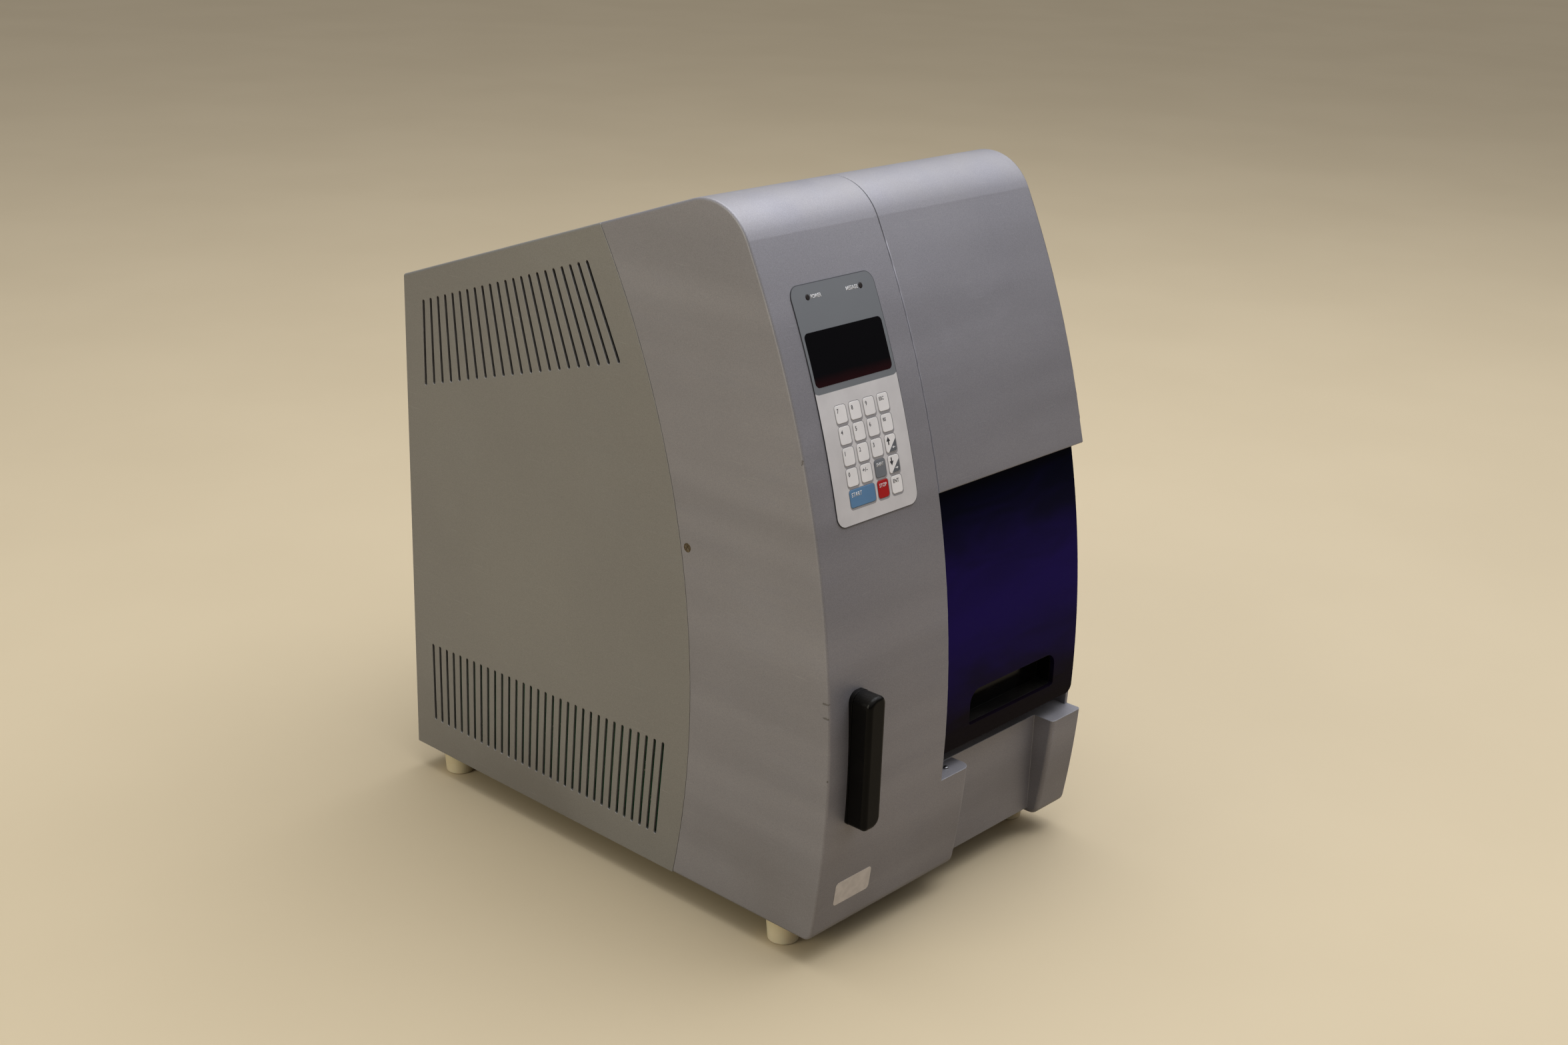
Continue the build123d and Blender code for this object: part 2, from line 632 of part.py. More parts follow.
# ---- back panel with the fan's grille and the power inlet's opening ----
with BuildPart() as back_panel:
    with BuildSketch(front_plane(CASE_DEPTH)):
        span((SHEET, WIDTH - SHEET), (SHEET, REAR_HEIGHT - SHEET - GAP))
        span(INLET_X, INLET_Z, mode=Mode.SUBTRACT)
        for step in range(-GRILLE_ROWS, GRILLE_ROWS + 1):
            half = sqrt(FAN_BORE_R**2 - (step * GRILLE_PITCH) ** 2) - GRILLE_RIM
            with Locations((FAN_X, FAN_Z + step * GRILLE_PITCH)):
                SlotOverall(2 * half, GRILLE_WIDTH, mode=Mode.SUBTRACT)
    extrude(amount=SHEET)
back_panel.part.label = "back_panel"

# ---- chamber liner: left return and rear wall ----
with BuildPart() as chamber_liner:
    liner_back = (CHAMBER_BACK, CHAMBER_BACK + SHEET)
    slab((LINER_LEFT, LINER_LEFT + SHEET), (LINER_FRONT, liner_back[1]), (SHEET, LINER_TOP))
    slab((LINER_LEFT, WIDTH - WALL - SHEET), liner_back, (SHEET, LINER_TOP))
chamber_liner.part.label = "chamber_liner"

# ---- door ----
with BuildPart() as door:
    with BuildSketch(side_plane(DOOR_LEFT)):
        add(arc_band(DOOR_INSET, DOOR_INSET + DOOR_THICK, DOOR_LOW, DOOR_TOP))
    extrude(amount=DOOR_RIGHT - DOOR_LEFT)
    corners = door.edges().filter_by(lambda e: abs(e.length - DOOR_THICK) < 0.01)
    fillet(corners.sort_by(Axis.Z)[:2].sort_by(Axis.X)[1], DOOR_CORNER_R)
    with BuildSketch(front_plane(0)) as finger_slot:
        span(PULL_X, PULL_Z)
        fillet(finger_slot.vertices().group_by(Axis.Y)[-1], PULL_TOP_R)
        fillet(finger_slot.vertices().group_by(Axis.Y)[0], PULL_LOW_R)
    extrude(amount=-PULL_REACH, mode=Mode.SUBTRACT)
door.part.label = "door"

pull_face = DOOR_INSET + DOOR_THICK
with BuildPart() as door_pull:
    with BuildSketch(front_plane(0)):
        span((PULL_X[0] - PULL_WALL, PULL_X[1] + PULL_WALL),
             (PULL_Z[0] - PULL_WALL, PULL_Z[1] + PULL_WALL))
    extrude(amount=-PULL_REACH)
    with BuildSketch(side_plane(PULL_X[0] - CUT)):
        add(arc_band(pull_face, pull_face + PULL_DEPTH, DOOR_LOW, PULL_Z[1] + 2 * CUT))
    extrude(amount=PULL_X[1] - PULL_X[0] + 2 * CUT, mode=Mode.INTERSECT)
    with BuildSketch(front_plane(0)) as hollow:
        span(PULL_X, PULL_Z)
        fillet(hollow.vertices().group_by(Axis.Y)[-1], PULL_TOP_R)
        fillet(hollow.vertices().group_by(Axis.Y)[0], PULL_LOW_R)
    extrude(amount=-(pull_face + PULL_DEPTH - PULL_WALL), mode=Mode.SUBTRACT)
door_pull.part.label = "door_pull"

rail_x = (CHAMBER_LEFT, CHAMBER_LEFT + RAIL_WIDTH)
with BuildPart() as door_rails:
    for low_x, high_x in (rail_x, mirrored(rail_x)):
        with BuildSketch(side_plane(low_x)):
            add(arc_band(*RAIL_INSET, *RAIL_Z))
        extrude(amount=high_x - low_x)
door_rails.part.label = "door_rails"

shoe_face = DOOR_INSET + DOOR_THICK
shoe_prong = (CHAMBER_LEFT + SHOE_FROM_RAIL, CHAMBER_LEFT + SHOE_FROM_RAIL + SHOE_WIDTH)
shoe_web = (rail_x[1] + SHOE_CLEAR, shoe_prong[1])
shoe_bands = (
    (shoe_face, RAIL_INSET[0] - SHOE_CLEAR, shoe_prong),
    (RAIL_INSET[1] + SHOE_CLEAR, SHOE_INSET, shoe_prong),
    (shoe_face, SHOE_INSET, shoe_web),
)
with BuildPart() as door_shoes:
    for shoe_z in SHOE_Z:
        for near, far, limits in shoe_bands:
            for low_x, high_x in (limits, mirrored(limits)):
                with BuildSketch(side_plane(low_x)):
                    add(arc_band(near, far, *shoe_z))
                extrude(amount=high_x - low_x)
door_shoes.part.label = "door_shoes"

# ---- card slot: bezel with the hinge lugs, cover, pin, reader and card ----
lug_low = CARD_COVER_Z[0] + KNUCKLE_INSET
lug_high = CARD_COVER_Z[1] - KNUCKLE_INSET
lug_z = ((lug_low, lug_low + KNUCKLE_HEIGHT), (lug_high - KNUCKLE_HEIGHT, lug_high))
lug_r = KNUCKLE_R - KNUCKLE_CLEAR
knuckle_r = KNUCKLE_R + CARD_COVER_CLEAR
slit_x = (CARD_X - CARD_SLIT / 2, CARD_X + CARD_SLIT / 2)
card_low = (CARD_COVER_Z[0] + CARD_COVER_Z[1] - CARD[2]) / 2
card_z = (card_low, card_low + CARD[2])
slit_z = (card_z[0] - CARD_ROOM, card_z[1] + CARD_ROOM)
with BuildPart() as card_slot_bezel:
    with BuildSketch(front_plane(CUT)) as face:
        span(BEZEL_X, CARD_COVER_Z)
        round_corners(face, BEZEL_X, CARD_COVER_Z, CARD_COVER_CORNERS)
    extrude(amount=CUT + BEZEL_PROUD)
    with BuildSketch(side_plane(BEZEL_X[0] - CUT)):
        add(case_profile())
    extrude(amount=BEZEL_X[1] - BEZEL_X[0] + 2 * CUT, mode=Mode.SUBTRACT)
    slab(PLUG_X, (-BEZEL_PROUD, PLUG_BACK), PLUG_Z)
    for lug in lug_z:
        post(PIVOT_X, PIVOT_Y, lug, lug_r)
        slab((PIVOT_X - lug_r, PIVOT_X + lug_r), (PIVOT_Y, 0), lug)
    post(PIVOT_X, PIVOT_Y, CARD_COVER_Z, PIVOT_R, mode=Mode.SUBTRACT)
    slab(slit_x, (-CUT, PLUG_BACK + CUT), slit_z, mode=Mode.SUBTRACT)
card_slot_bezel.part.label = "card_slot_bezel"

with BuildPart() as cover_hinge_pin:
    post(PIVOT_X, PIVOT_Y, PIVOT_Z, PIVOT_R)
cover_hinge_pin.part.label = "cover_hinge_pin"

with BuildPart() as card_slot_cover:
    back_y = -BEZEL_PROUD - KNUCKLE_CLEAR
    with BuildSketch(front_plane(back_y)) as face:
        span(CARD_COVER_X, CARD_COVER_Z)
        round_corners(face, CARD_COVER_X, CARD_COVER_Z, CARD_COVER_CORNERS)
    extrude(amount=COVER_PROUD + back_y)
    with BuildSketch(level_plane(CARD_COVER_Z[0])) as plan:
        span(CARD_COVER_X, (-COVER_PROUD, back_y))
        fillet(plan.vertices().sort_by(Axis.X)[-2:].sort_by(Axis.Y)[-1], KNUCKLE_R - 0.05)
    extrude(amount=CARD_COVER_Z[1] - CARD_COVER_Z[0], mode=Mode.INTERSECT)
    fillet(card_slot_cover.faces().sort_by(Axis.Y)[0].edges(), CARD_COVER_EDGE_R)
    hollow_z = (lug_low - KNUCKLE_CLEAR, lug_high + KNUCKLE_CLEAR)
    slab((CARD_COVER_X[0] + CARD_COVER_WALL, CARD_COVER_X[1] - CARD_COVER_WALL),
         (-COVER_PROUD + CARD_COVER_WALL, 0), hollow_z, mode=Mode.SUBTRACT)
    for low, high in lug_z:
        knuckle = (low - KNUCKLE_CLEAR, high + KNUCKLE_CLEAR)
        post(PIVOT_X, PIVOT_Y, knuckle, knuckle_r, mode=Mode.SUBTRACT)
        # the lugs sweep through this side of the cover as it opens
        slab((PIVOT_X, PIVOT_X + 2 * KNUCKLE_R), (PIVOT_Y - knuckle_r, 0), knuckle,
             mode=Mode.SUBTRACT)
        slab((PIVOT_X - knuckle_r, PIVOT_X), (PIVOT_Y, 0), knuckle, mode=Mode.SUBTRACT)
    post(PIVOT_X, PIVOT_Y, (CARD_COVER_Z[0] - CUT, PIVOT_Z[1] + KNUCKLE_CLEAR), PIVOT_BORE_R,
         mode=Mode.SUBTRACT)
card_slot_cover.part.label = "card_slot_cover"

with BuildPart() as card_reader:
    slab(READER_X, READER_Y, READER_Z)
    slab(slit_x, (0, READER_STOP), slit_z, mode=Mode.SUBTRACT)
card_reader.part.label = "card_reader"

with BuildPart() as program_card:
    slab((CARD_X - CARD[0] / 2, CARD_X + CARD[0] / 2), (-CARD_OUT, CARD[1] - CARD_OUT), card_z)
    fillet(program_card.edges().filter_by(Axis.X), CARD_R)
program_card.part.label = "program_card"


# ---- control panel ----
def key_places():
    """Each key's name, width and centre in case coordinates."""
    for row, names in enumerate(KEY_ROWS):
        for column, name in enumerate(names):
            if not name:
                continue
            wide = START_WIDTH if name == "start" else KEY_WIDTH
            x = KEY_FIRST_X + column * KEY_PITCH_X + (wide - KEY_WIDTH) / 2
            yield name, wide, x, KEY_TOP_Z - row * KEY_PITCH_Z


with BuildPart() as panel_overlay:
    with BuildSketch(front_plane(-CUT)) as outline:
        span(PANEL_X, PANEL_Z)
        fillet(outline.vertices(), PANEL_R)
    extrude(amount=-CUT - PANEL_REACH)
    with BuildSketch(side_plane(PANEL_X[0] - CUT)):
        add(arc_band(-PANEL_THICK, 0, PANEL_Z[0] - CUT, PANEL_Z[1] + CUT))
    extrude(amount=PANEL_X[1] - PANEL_X[0] + 2 * CUT, mode=Mode.INTERSECT)
    for name, wide, x, z in key_places():
        with BuildSketch(tangent_plane(z)):
            with Locations((x, 0)):
                RectangleRounded(wide + 2 * KEY_CLEAR, KEY_HEIGHT + 2 * KEY_CLEAR, KEY_R + KEY_CLEAR)
        extrude(amount=CUT, both=True, mode=Mode.SUBTRACT)
    window_mid = (WINDOW_Z[0] + WINDOW_Z[1]) / 2
    with BuildSketch(tangent_plane(window_mid)):
        with Locations(((WINDOW_X[0] + WINDOW_X[1]) / 2, 0)):
            RectangleRounded(WINDOW_X[1] - WINDOW_X[0], WINDOW_Z[1] - WINDOW_Z[0], WINDOW_R)
    extrude(amount=CUT, both=True, mode=Mode.SUBTRACT)
    with BuildSketch(tangent_plane(LED_Z)):
        with Locations(*[(x, 0) for x in LED_X]):
            Circle(LED_R)
    extrude(amount=CUT, both=True, mode=Mode.SUBTRACT)
panel_overlay.part.label = "panel_overlay"

window_size = (WINDOW_X[1] - WINDOW_X[0], WINDOW_Z[1] - WINDOW_Z[0])
window_x = (WINDOW_X[0] + WINDOW_X[1]) / 2
with BuildPart() as display_window:
    with BuildSketch(tangent_plane(window_mid, WINDOW_SUNK - PANEL_THICK)):
        with Locations((window_x, 0)):
            RectangleRounded(*window_size, WINDOW_R)
    extrude(amount=-WINDOW_THICK)
    with BuildSketch(tangent_plane(window_mid, -WINDOW_SUNK)):
        with Locations((window_x, 0)):
            Rectangle(window_size[0] - 2 * WINDOW_STEP, window_size[1] - 2 * WINDOW_STEP)
    extrude(amount=-WINDOW_PLUG)
display_window.part.label = "display_window"

with BuildPart() as status_leds:
    with BuildSketch(tangent_plane(LED_Z, -PANEL_THICK - LENS_PROUD)):
        with Locations(*[(x, 0) for x in LED_X]):
            Circle(LED_R - LENS_CLEAR)
    extrude(amount=-LED_LENGTH)
    fillet(status_leds.edges().group_by(Axis.Y)[0], LED_DOME_R)
status_leds.part.label = "status_leds"

# display and key board, held off the tower's wall by four pillars
with BuildPart() as front_board:
    with BuildSketch(tangent_plane((PANEL_Z[0] + PANEL_Z[1]) / 2, BOARD_INSET)):
        with Locations(((PANEL_X[0] + PANEL_X[1]) / 2, -BOARD_DROP)):
            Rectangle(*BOARD_SIZE)
    extrude(amount=-BOARD_THICK)
    for z in PILLAR_Z:
        with BuildSketch(tangent_plane(z, WALL + LENS_CLEAR / 2)):
            with Locations((PANEL_X[0] + PILLAR_IN, 0), (PANEL_X[1] - PILLAR_IN, 0)):
                Circle(PILLAR_R)
        extrude(amount=-PILLAR_LENGTH)
    with BuildSketch(tangent_plane(window_mid, WALL + GAP)):
        with Locations((window_x, 0)):
            Rectangle(*DISPLAY_SIZE)
    extrude(amount=-DISPLAY_DEEP)
front_board.part.label = "front_board"

keys = []
for name, wide, x, z in key_places():
    with BuildPart() as key:
        with BuildSketch(tangent_plane(z, KEY_DEEP)):
            with Locations((x, 0)):
                RectangleRounded(wide, KEY_HEIGHT, KEY_R)
        extrude(amount=KEY_DEEP + KEY_PROUD)
        fillet(key.faces().sort_by(Axis.Y)[0].edges(), KEY_EDGE_R)
    key.part.label = f"key_{name}"
    keys.append(key.part)

# ---- deck and what stands on it ----
with BuildPart() as worktable:
    slab(DECK_X, DECK_Y, DECK_Z)
    for leg in ((DECK_X[0], DECK_X[0] + DECK_LEG), (DECK_X[1] - DECK_LEG, DECK_X[1])):
        slab(leg, DECK_Y, (SHEET, DECK_Z[0]))
worktable.part.label = "worktable"

with BuildPart() as cartridge_rack:
    slab(RACK_X, (RACK_FRONT_Y[0], RACK_REAR_Y[1]), (RACK_Z, RACK_Z + RACK_BASE))
    slab(RACK_X, RACK_FRONT_Y, (RACK_Z, RACK_Z + RACK_FRONT_HEIGHT))
    slab(RACK_X, RACK_REAR_Y, (RACK_Z, RACK_Z + RACK_REAR_HEIGHT))
    for rib in range(CHANNELS + 1):
        rib_x = CHAMBER_MID + (rib - CHANNELS / 2) * PITCH
        slab((rib_x - RIB / 2, rib_x + RIB / 2), (RACK_FRONT_Y[1], RACK_REAR_Y[0]),
             (RACK_Z + RACK_BASE, RACK_Z + RIB_HEIGHT))
cartridge_rack.part.label = "cartridge_rack"

with BuildPart() as reagent_cartridges:
    overhang, rim = CARTRIDGE_RIM
    rim_z = RACK_Z + CARTRIDGE_HEIGHT
    for x in CHANNEL_X:
        sides = (x - CARTRIDGE_WIDTH / 2, x + CARTRIDGE_WIDTH / 2)
        slab(sides, CARTRIDGE_Y, (RACK_Z + RACK_BASE, rim_z))
        slab(sides, (CARTRIDGE_Y[0] - overhang, CARTRIDGE_Y[1] + overhang), (rim_z, rim_z + rim))
    fillet(reagent_cartridges.edges().filter_by(Axis.Z), CARTRIDGE_R)
reagent_cartridges.part.label = "reagent_cartridges"

tip_top = RACK_Z + TIP_RACK_HEIGHT
with BuildPart() as tip_rack:
    slab(RACK_X, TIP_RACK_Y, (RACK_Z, tip_top))
    fillet(tip_rack.edges().filter_by(Axis.Z), TIP_RACK_R)
    for x in CHANNEL_X:
        for y in TIP_ROWS:
            post(x, y, (RACK_Z + RACK_BASE, tip_top + CUT), TIP_BORE_R, mode=Mode.SUBTRACT)
tip_rack.part.label = "tip_rack"

with BuildPart() as filter_tips:
    for x in CHANNEL_X:
        for y in TIP_ROWS:
            post(x, y, (tip_top, tip_top + TIP_COLLAR), TIP_COLLAR_R)
            with Locations(DATUM + Vector(x, y, (RACK_Z + TIP_LOW + tip_top) / 2)):
                Cone(TIP_END_R, TIP_BORE_R, TIP_RACK_HEIGHT - TIP_LOW)
filter_tips.part.label = "filter_tips"

# ---- slides that carry the pump head ----
with BuildPart() as y_rails:
    for side in (tuple, mirrored):
        slab(side(Y_RAIL_PLATE[0]), (Y_RAIL_FRONT, CHAMBER_BACK), Y_RAIL_PLATE[1])
        slab(side(Y_RAIL_BAR[0]), (Y_RAIL_FRONT, CHAMBER_BACK), Y_RAIL_BAR[1])
y_rails.part.label = "y_rails"

with BuildPart() as y_carriage:
    plate_y = (CARRIAGE_Y[1] - CARRIAGE_PLATE, CARRIAGE_Y[1])
    for side in (tuple, mirrored):
        slab(side(CARRIAGE_WEB[0]), CARRIAGE_Y, CARRIAGE_WEB[1])
        for prong_z in CARRIAGE_PRONGS:
            slab(side(CARRIAGE_PRONG_X), CARRIAGE_Y, prong_z)
    slab((CARRIAGE_WEB[0][1], 2 * CHAMBER_MID - CARRIAGE_WEB[0][1]), plate_y, GUIDE_Z)
    slab(BRACKET_X, (UPPER_BRACKET[0], plate_y[0]), (UPPER_BRACKET[1], GUIDE_Z[1]))
    slab(BRACKET_X, (LOWER_BRACKET[0], plate_y[0]), (GUIDE_Z[0], LOWER_BRACKET[1]))
    for x in GUIDE_X:
        post(x, GUIDE_Y, GUIDE_Z, GUIDE_R, mode=Mode.SUBTRACT)
    post(CHAMBER_MID, GUIDE_Y, GUIDE_Z, SCREW_ROD_R, mode=Mode.SUBTRACT)
y_carriage.part.label = "y_carriage"

with BuildPart() as z_guides:
    for x in GUIDE_X:
        post(x, GUIDE_Y, GUIDE_Z, GUIDE_R)
    post(CHAMBER_MID, GUIDE_Y, GUIDE_Z, SCREW_ROD_R)
z_guides.part.label = "z_guides"

# ---- pump head ----
with BuildPart() as pump_frame:
    slab(BRACKET_X, GUIDE_BLOCK_Y, GUIDE_BLOCK_Z)
    slab(HEAD_X, HEAD_Y, (BARREL_Z[1], HEAD_Z[1]))
    slab(HEAD_X, HEAD_Y, (HEAD_Z[0], BARREL_Z[0]))
    slab(HEAD_X, (HEAD_Y[1] - HEAD_PLATE, HEAD_Y[1]), HEAD_Z)
    lug_x, lug_y, lug_low = MAGNET_LUG
    for lug in (lug_x, mirrored(lug_x)):
        slab(lug, lug_y, (lug_low, HEAD_Z[0] + 1))
        pin(sum(lug) / 2, (lug_y[0] - CUT, lug_y[1] + CUT), MAGNET_Z, MAGNET_BORE_R,
            mode=Mode.SUBTRACT)
    guide_cut = (GUIDE_BLOCK_Z[0] - CUT, GUIDE_BLOCK_Z[1] + CUT)
    for x in GUIDE_X:
        post(x, GUIDE_Y, guide_cut, GUIDE_BORE_R, mode=Mode.SUBTRACT)
    post(CHAMBER_MID, GUIDE_Y, guide_cut, SCREW_BORE_R, mode=Mode.SUBTRACT)
    top_cut = (BARREL_Z[1] - CUT, HEAD_Z[1] + CUT)
    post(CHAMBER_MID, PLUNGER_SCREW_Y, top_cut, PLUNGER_SCREW_BORE_R, mode=Mode.SUBTRACT)
    for x in CHANNEL_X:
        post(x, PUMP_Y, top_cut, PLUNGER_BORE_R, mode=Mode.SUBTRACT)
        post(x, PUMP_Y, (HEAD_Z[0] - CUT, BARREL_Z[0] + CUT), NECK_R, mode=Mode.SUBTRACT)
pump_frame.part.label = "pump_frame"

with BuildPart() as pump_barrels:
    for x in CHANNEL_X:
        post(x, PUMP_Y, BARREL_Z, BARREL_R)
        post(x, PUMP_Y, (HEAD_Z[0], BARREL_Z[0] + 1), NECK_R)
        with Locations(DATUM + Vector(x, PUMP_Y, (NOZZLE_LOW + HEAD_Z[0]) / 2)):
            Cone(NOZZLE_R, NECK_R, HEAD_Z[0] - NOZZLE_LOW)
        floor_z = BARREL_Z[0] + BARREL_FLOOR
        post(x, PUMP_Y, (floor_z, BARREL_Z[1] + CUT), BARREL_BORE_R, mode=Mode.SUBTRACT)
        post(x, PUMP_Y, (NOZZLE_LOW - CUT, floor_z + 1), NOZZLE_BORE_R, mode=Mode.SUBTRACT)
pump_barrels.part.label = "pump_barrels"

with BuildPart() as plunger_plate:
    rod_top = PLUNGER_PLATE_Z[0] + 1
    slab(PLUNGER_PLATE_X, PLUNGER_PLATE_Y, PLUNGER_PLATE_Z)
    post(CHAMBER_MID, PLUNGER_SCREW_Y, (PLUNGER_SCREW_LOW, rod_top), PLUNGER_SCREW_R)
    for x in CHANNEL_X:
        post(x, PUMP_Y, (PISTON_Z[1] - 1, rod_top), PLUNGER_R)
        post(x, PUMP_Y, PISTON_Z, PISTON_R)
plunger_plate.part.label = "plunger_plate"

with BuildPart() as head_motors:
    screws = ((GUIDE_Y, SCREW_BORE_R), (PLUNGER_SCREW_Y, PLUNGER_SCREW_BORE_R))
    for (half, motor_y, motor_z), (screw_y, bore_r) in zip((LIFT_MOTOR, PLUNGER_MOTOR), screws):
        slab((CHAMBER_MID - half, CHAMBER_MID + half), motor_y, motor_z)
        post(CHAMBER_MID, screw_y, (motor_z[0] - CUT, motor_z[1] + CUT), bore_r,
             mode=Mode.SUBTRACT)
head_motors.part.label = "head_motors"

with BuildPart() as magnet_bar:
    slab(MAGNET_X, MAGNET_Y, (MAGNET_Z - MAGNET_HALF, MAGNET_Z + MAGNET_HALF))
    for x in CHANNEL_X:
        pin(x, (MAGNET_REACH, MAGNET_Y[0] + 1), MAGNET_Z, MAGNET_R)
    pin_x = (lug_x[0] + lug_x[1]) / 2
    for x in (pin_x, 2 * CHAMBER_MID - pin_x):
        pin(x, (MAGNET_PIN_FRONT, MAGNET_Y[0] + 1), MAGNET_Z, MAGNET_PIN_R)
magnet_bar.part.label = "magnet_bar"

# ---- rear bay ----
with BuildPart() as power_supply:
    slab(*SUPPLY)
    fillet(power_supply.edges().filter_by(Axis.Z), SUPPLY_R)
power_supply.part.label = "power_supply"

with BuildPart() as main_board:
    # the board's metal carrier stands on the base pan
    face_x = CARRIER_X[0] + SHEET
    slab(CARRIER_X, CARRIER_Y, (SHEET, 2 * SHEET))
    slab((CARRIER_X[0], face_x), CARRIER_Y, (SHEET, CARRIER_TOP))
    for y, z, size in CHIPS:
        slab((face_x, face_x + CHIP_THICK), (y, y + size), (z, z + size))
    for y in CAPACITOR_Y:
        cross_pin((face_x, face_x + CAPACITOR_LENGTH), y, CAPACITOR_Z, CAPACITOR_R)
main_board.part.label = "main_board"

with BuildPart() as fan_frame:
    half = FAN_SIZE / 2
    slab((FAN_X - half, FAN_X + half), FAN_Y, (FAN_Z - half, FAN_Z + half))
    fillet(fan_frame.edges().filter_by(Axis.Y), FAN_CORNER_R)
    pin(FAN_X, (FAN_Y[0] - CUT, FAN_Y[1] + CUT), FAN_Z, FAN_BORE_R, mode=Mode.SUBTRACT)
    pin(FAN_X, (FAN_CUP[1], FAN_Y[1]), FAN_Z, FAN_CUP[0])
    long, short = FAN_BORE_R + 1, FAN_ARM[0] / 2
    for wide, high in ((long, short), (short, long)):
        slab((FAN_X - wide, FAN_X + wide), (FAN_ARM[1], FAN_Y[1]), (FAN_Z - high, FAN_Z + high))
    pin(FAN_X, (FAN_CUP[1] - CUT, FAN_Y[1] + CUT), FAN_Z, FAN_SHAFT_BORE_R, mode=Mode.SUBTRACT)
fan_frame.part.label = "fan_frame"

blade_y = (FAN_HUB_Y[0] + FAN_HUB_Y[1]) / 2
with BuildPart() as fan_blade:
    blade_at = DATUM + Vector(FAN_X, blade_y, FAN_Z + FAN_BLADE_MID)
    with Locations(Location(blade_at, (0, 0, FAN_BLADE_TWIST))):
        Box(*FAN_BLADE)

with BuildPart() as fan_rotor:
    pin(FAN_X, FAN_HUB_Y, FAN_Z, FAN_HUB_R)
    for blade in range(FAN_BLADES):
        turn = Location(DATUM + Vector(FAN_X, blade_y, FAN_Z))
        spin = Location((0, 0, 0), (0, 360 * blade / FAN_BLADES, 0))
        add(fan_blade.part.moved(turn.inverse()).moved(spin).moved(turn))
    pin(FAN_X, (FAN_HUB_Y[1] - 1, FAN_SHAFT_END), FAN_Z, FAN_SHAFT_R)
fan_rotor.part.label = "fan_rotor"

with BuildPart() as power_inlet:
    slab((INLET_X[0] - INLET_FLANGE, INLET_X[1] + INLET_FLANGE),
         (CASE_DEPTH, CASE_DEPTH + INLET_PROUD),
         (INLET_Z[0] - INLET_FLANGE, INLET_Z[1] + INLET_FLANGE))
    fillet(power_inlet.edges().filter_by(Axis.Y), INLET_R)
    slab(INLET_X, (INLET_FRONT, CASE_DEPTH + 1), INLET_Z)
    slab(SOCKET_X, (SOCKET_FRONT, CASE_DEPTH + CUT), SOCKET_Z, mode=Mode.SUBTRACT)
    for x, z in PRONGS:
        slab((x - PRONG[0], x + PRONG[0]), (SOCKET_FRONT - 1, PRONG[2]), (z - PRONG[1], z + PRONG[1]))
    slab((SWITCH_X[0] - SWITCH_CLEAR, SWITCH_X[1] + SWITCH_CLEAR),
         (SWITCH_WELL[1], CASE_DEPTH + CUT),
         (SWITCH_PIVOT[1] - SWITCH_WELL[0], SWITCH_PIVOT[1] + SWITCH_WELL[0]), mode=Mode.SUBTRACT)
    cross_pin((SWITCH_X[0] - 1, SWITCH_X[1] + 1), *SWITCH_PIVOT, SWITCH_PIN_R)
power_inlet.part.label = "power_inlet"

with BuildPart() as power_switch:
    with BuildSketch(side_plane(SWITCH_X[0])):
        with BuildLine(Location(SWITCH_PIVOT, SWITCH_TILT)):
            Polyline(*ROCKER, close=True)
        make_face()
    extrude(amount=SWITCH_X[1] - SWITCH_X[0])
    cross_pin((SWITCH_X[0] - 1, SWITCH_X[1] + 1), *SWITCH_PIVOT, SWITCH_BORE_R,
              mode=Mode.SUBTRACT)
power_switch.part.label = "power_switch"

# ---- one STEP file for each piece ----
pieces = [
    tower_housing, hood, sill_panel, rear_cover, base_pan, feet, back_panel, housing_screws,
    chamber_liner, door, door_pull, door_rails, door_shoes, card_slot_bezel, cover_hinge_pin,
    card_slot_cover, card_reader, program_card, panel_overlay, display_window, status_leds,
    front_board, worktable, cartridge_rack, reagent_cartridges, tip_rack, filter_tips, y_rails,
    y_carriage, z_guides, pump_frame, pump_barrels, plunger_plate, head_motors, magnet_bar,
    power_supply, main_board, fan_frame, fan_rotor, power_inlet, power_switch,
]
os.makedirs("parts", exist_ok=True)
for part in [piece.part for piece in pieces] + keys:
    export_step(part, f"parts/{part.label}.step")
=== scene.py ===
"""Finishes, fine fitted pieces and studio for a benchtop nucleic acid extractor.

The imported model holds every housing, door, key and mechanism at its real place. This script dresses each
of them, adds what is too fine for it (key legends, lamp labels, foil seals, screws and plates), and sets
up the floor, the lights and the camera. Lengths are in millimetres of the case until they are placed.
"""

from __future__ import annotations

import json
import logging
import math
from collections.abc import Callable, Iterable
from dataclasses import dataclass
from enum import Enum

import bmesh
import bpy
from mathutils import Matrix, Vector

